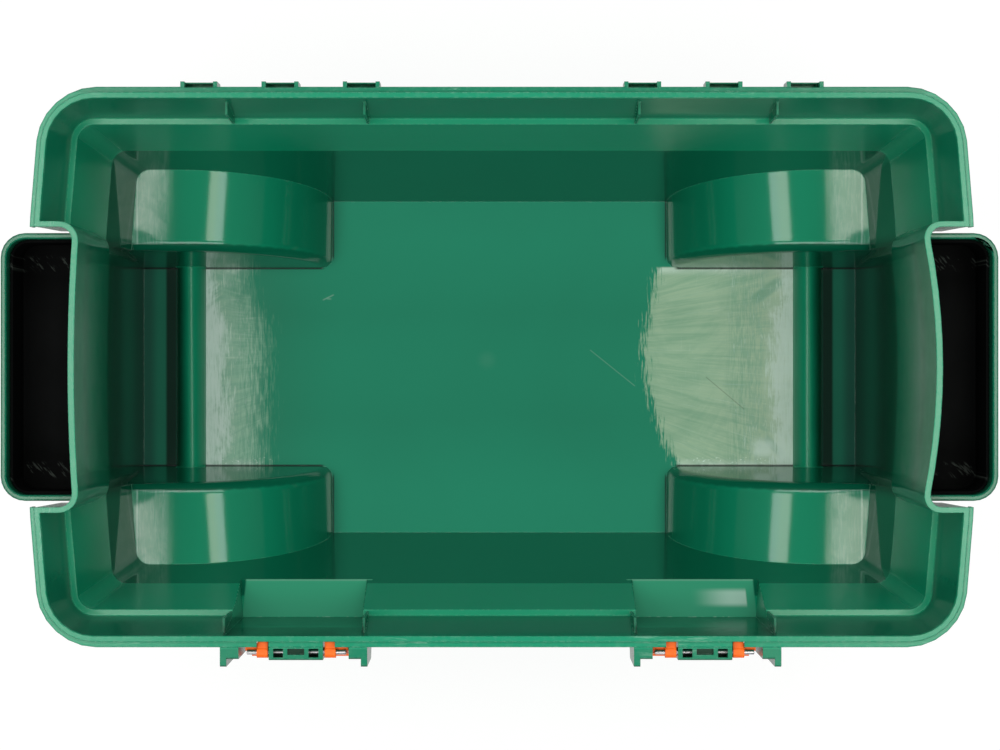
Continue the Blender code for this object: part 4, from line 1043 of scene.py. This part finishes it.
def ground():
    """A wide pale floor that shows white to the camera but keeps the box's shadow."""
    bm = bmesh.new()
    signs = ((-1, -1), (1, -1), (1, 1), (-1, 1))
    bm.faces.new([bm.verts.new((x * GROUND_HALF, y * GROUND_HALF, 0.0)) for x, y in signs])
    floor = new_object("ground", bm)
    net = Net("ground_white")
    net.set(Base_Color=(GROUND_WHITE,) * 3, Roughness=0.9)
    rays = net.add("ShaderNodeLightPath")
    to_camera = net.times(rays.outputs["Is Camera Ray"], GLOW_TO_CAMERA)
    to_gloss = net.times(rays.outputs["Is Glossy Ray"], GLOW_TO_GLOSS)
    glow = net.add("ShaderNodeEmission")
    glow.inputs["Color"].default_value = (1.0, 1.0, 1.0, 1.0)
    glow.inputs["Strength"].default_value = GROUND_GLOW
    blend = net.add("ShaderNodeMixShader")
    output = net.tree.nodes["Material Output"]
    net.feed(blend.inputs[0], net.math("MAXIMUM", to_camera, to_gloss))
    net.tree.links.new(net.shader.outputs[0], blend.inputs[1])
    net.tree.links.new(glow.outputs[0], blend.inputs[2])
    net.tree.links.new(blend.outputs[0], output.inputs["Surface"])
    floor.data.materials.append(net.material)


def softbox(name, x_range, y_range, z, radiance, colour):
    """A rectangular lamp that faces straight down."""
    width = x_range[1] - x_range[0]
    depth = y_range[1] - y_range[0]
    lamp = bpy.data.lights.new(name, "AREA")
    lamp.shape = "RECTANGLE"
    lamp.size = width
    lamp.size_y = depth
    lamp.energy = radiance * math.pi * width * depth
    lamp.color = colour
    obj = bpy.data.objects.new(name, lamp)
    obj.location = ((x_range[0] + x_range[1]) / 2, (y_range[0] + y_range[1]) / 2, z)
    bpy.context.scene.collection.objects.link(obj)


def light_scene():
    """Lamps round the camera, and a faint light from everywhere."""
    for name, (x_range, y_range, radiance, colour) in SOFTBOXES.items():
        softbox(name, x_range, y_range, RIM_Z + CAMERA_RISE + LAMP_RISE, radiance, colour)
    world = bpy.data.worlds.new("studio")
    world.use_nodes = True
    back = world.node_tree.nodes["Background"]
    back.inputs["Color"].default_value = (1.0, 1.0, 1.0, 1.0)
    back.inputs["Strength"].default_value = WORLD_LIGHT
    bpy.context.scene.world = world
    bpy.context.scene.view_settings.view_transform = "Standard"


def place_camera():
    """A camera that looks straight down over the box's middle."""
    data = bpy.data.cameras.new("camera")
    data.lens = CAMERA_LENS
    data.sensor_width = CAMERA_SENSOR
    data.shift_x, data.shift_y = CAMERA_SHIFT
    camera = bpy.data.objects.new("camera", data)
    camera.location = (0.0, MIDDLE_Y, RIM_Z + CAMERA_RISE)
    bpy.context.scene.collection.objects.link(camera)
    bpy.context.scene.camera = camera


def dress():
    """Puts each piece's look on it, by the start of its name, and the finer wheels in place."""
    green = green_plastic()
    pocket = pocket_black()
    wheel_black = wheel_plastic()
    orange = orange_plastic()
    rubber = tread_rubber()
    looks = (
        ("tub", green),
        ("pocket_liner", pocket),
        ("latch_lever", orange),
        ("latch_pin", drawn_steel("pin_steel", True)),
        ("axle_cap", wheel_black),
        ("axle", drawn_steel("axle_steel", False)),
        ("wheel", wheel_black),
        ("tyre", rubber),
    )
    for name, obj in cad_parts.items():
        material = next(look for start, look in looks if name.startswith(start))
        for slot in obj.material_slots:
            slot.material = material
        smooth_packed(obj)
    make_wheels(wheel_black, rubber)


dress()
ground()
light_scene()
place_camera()
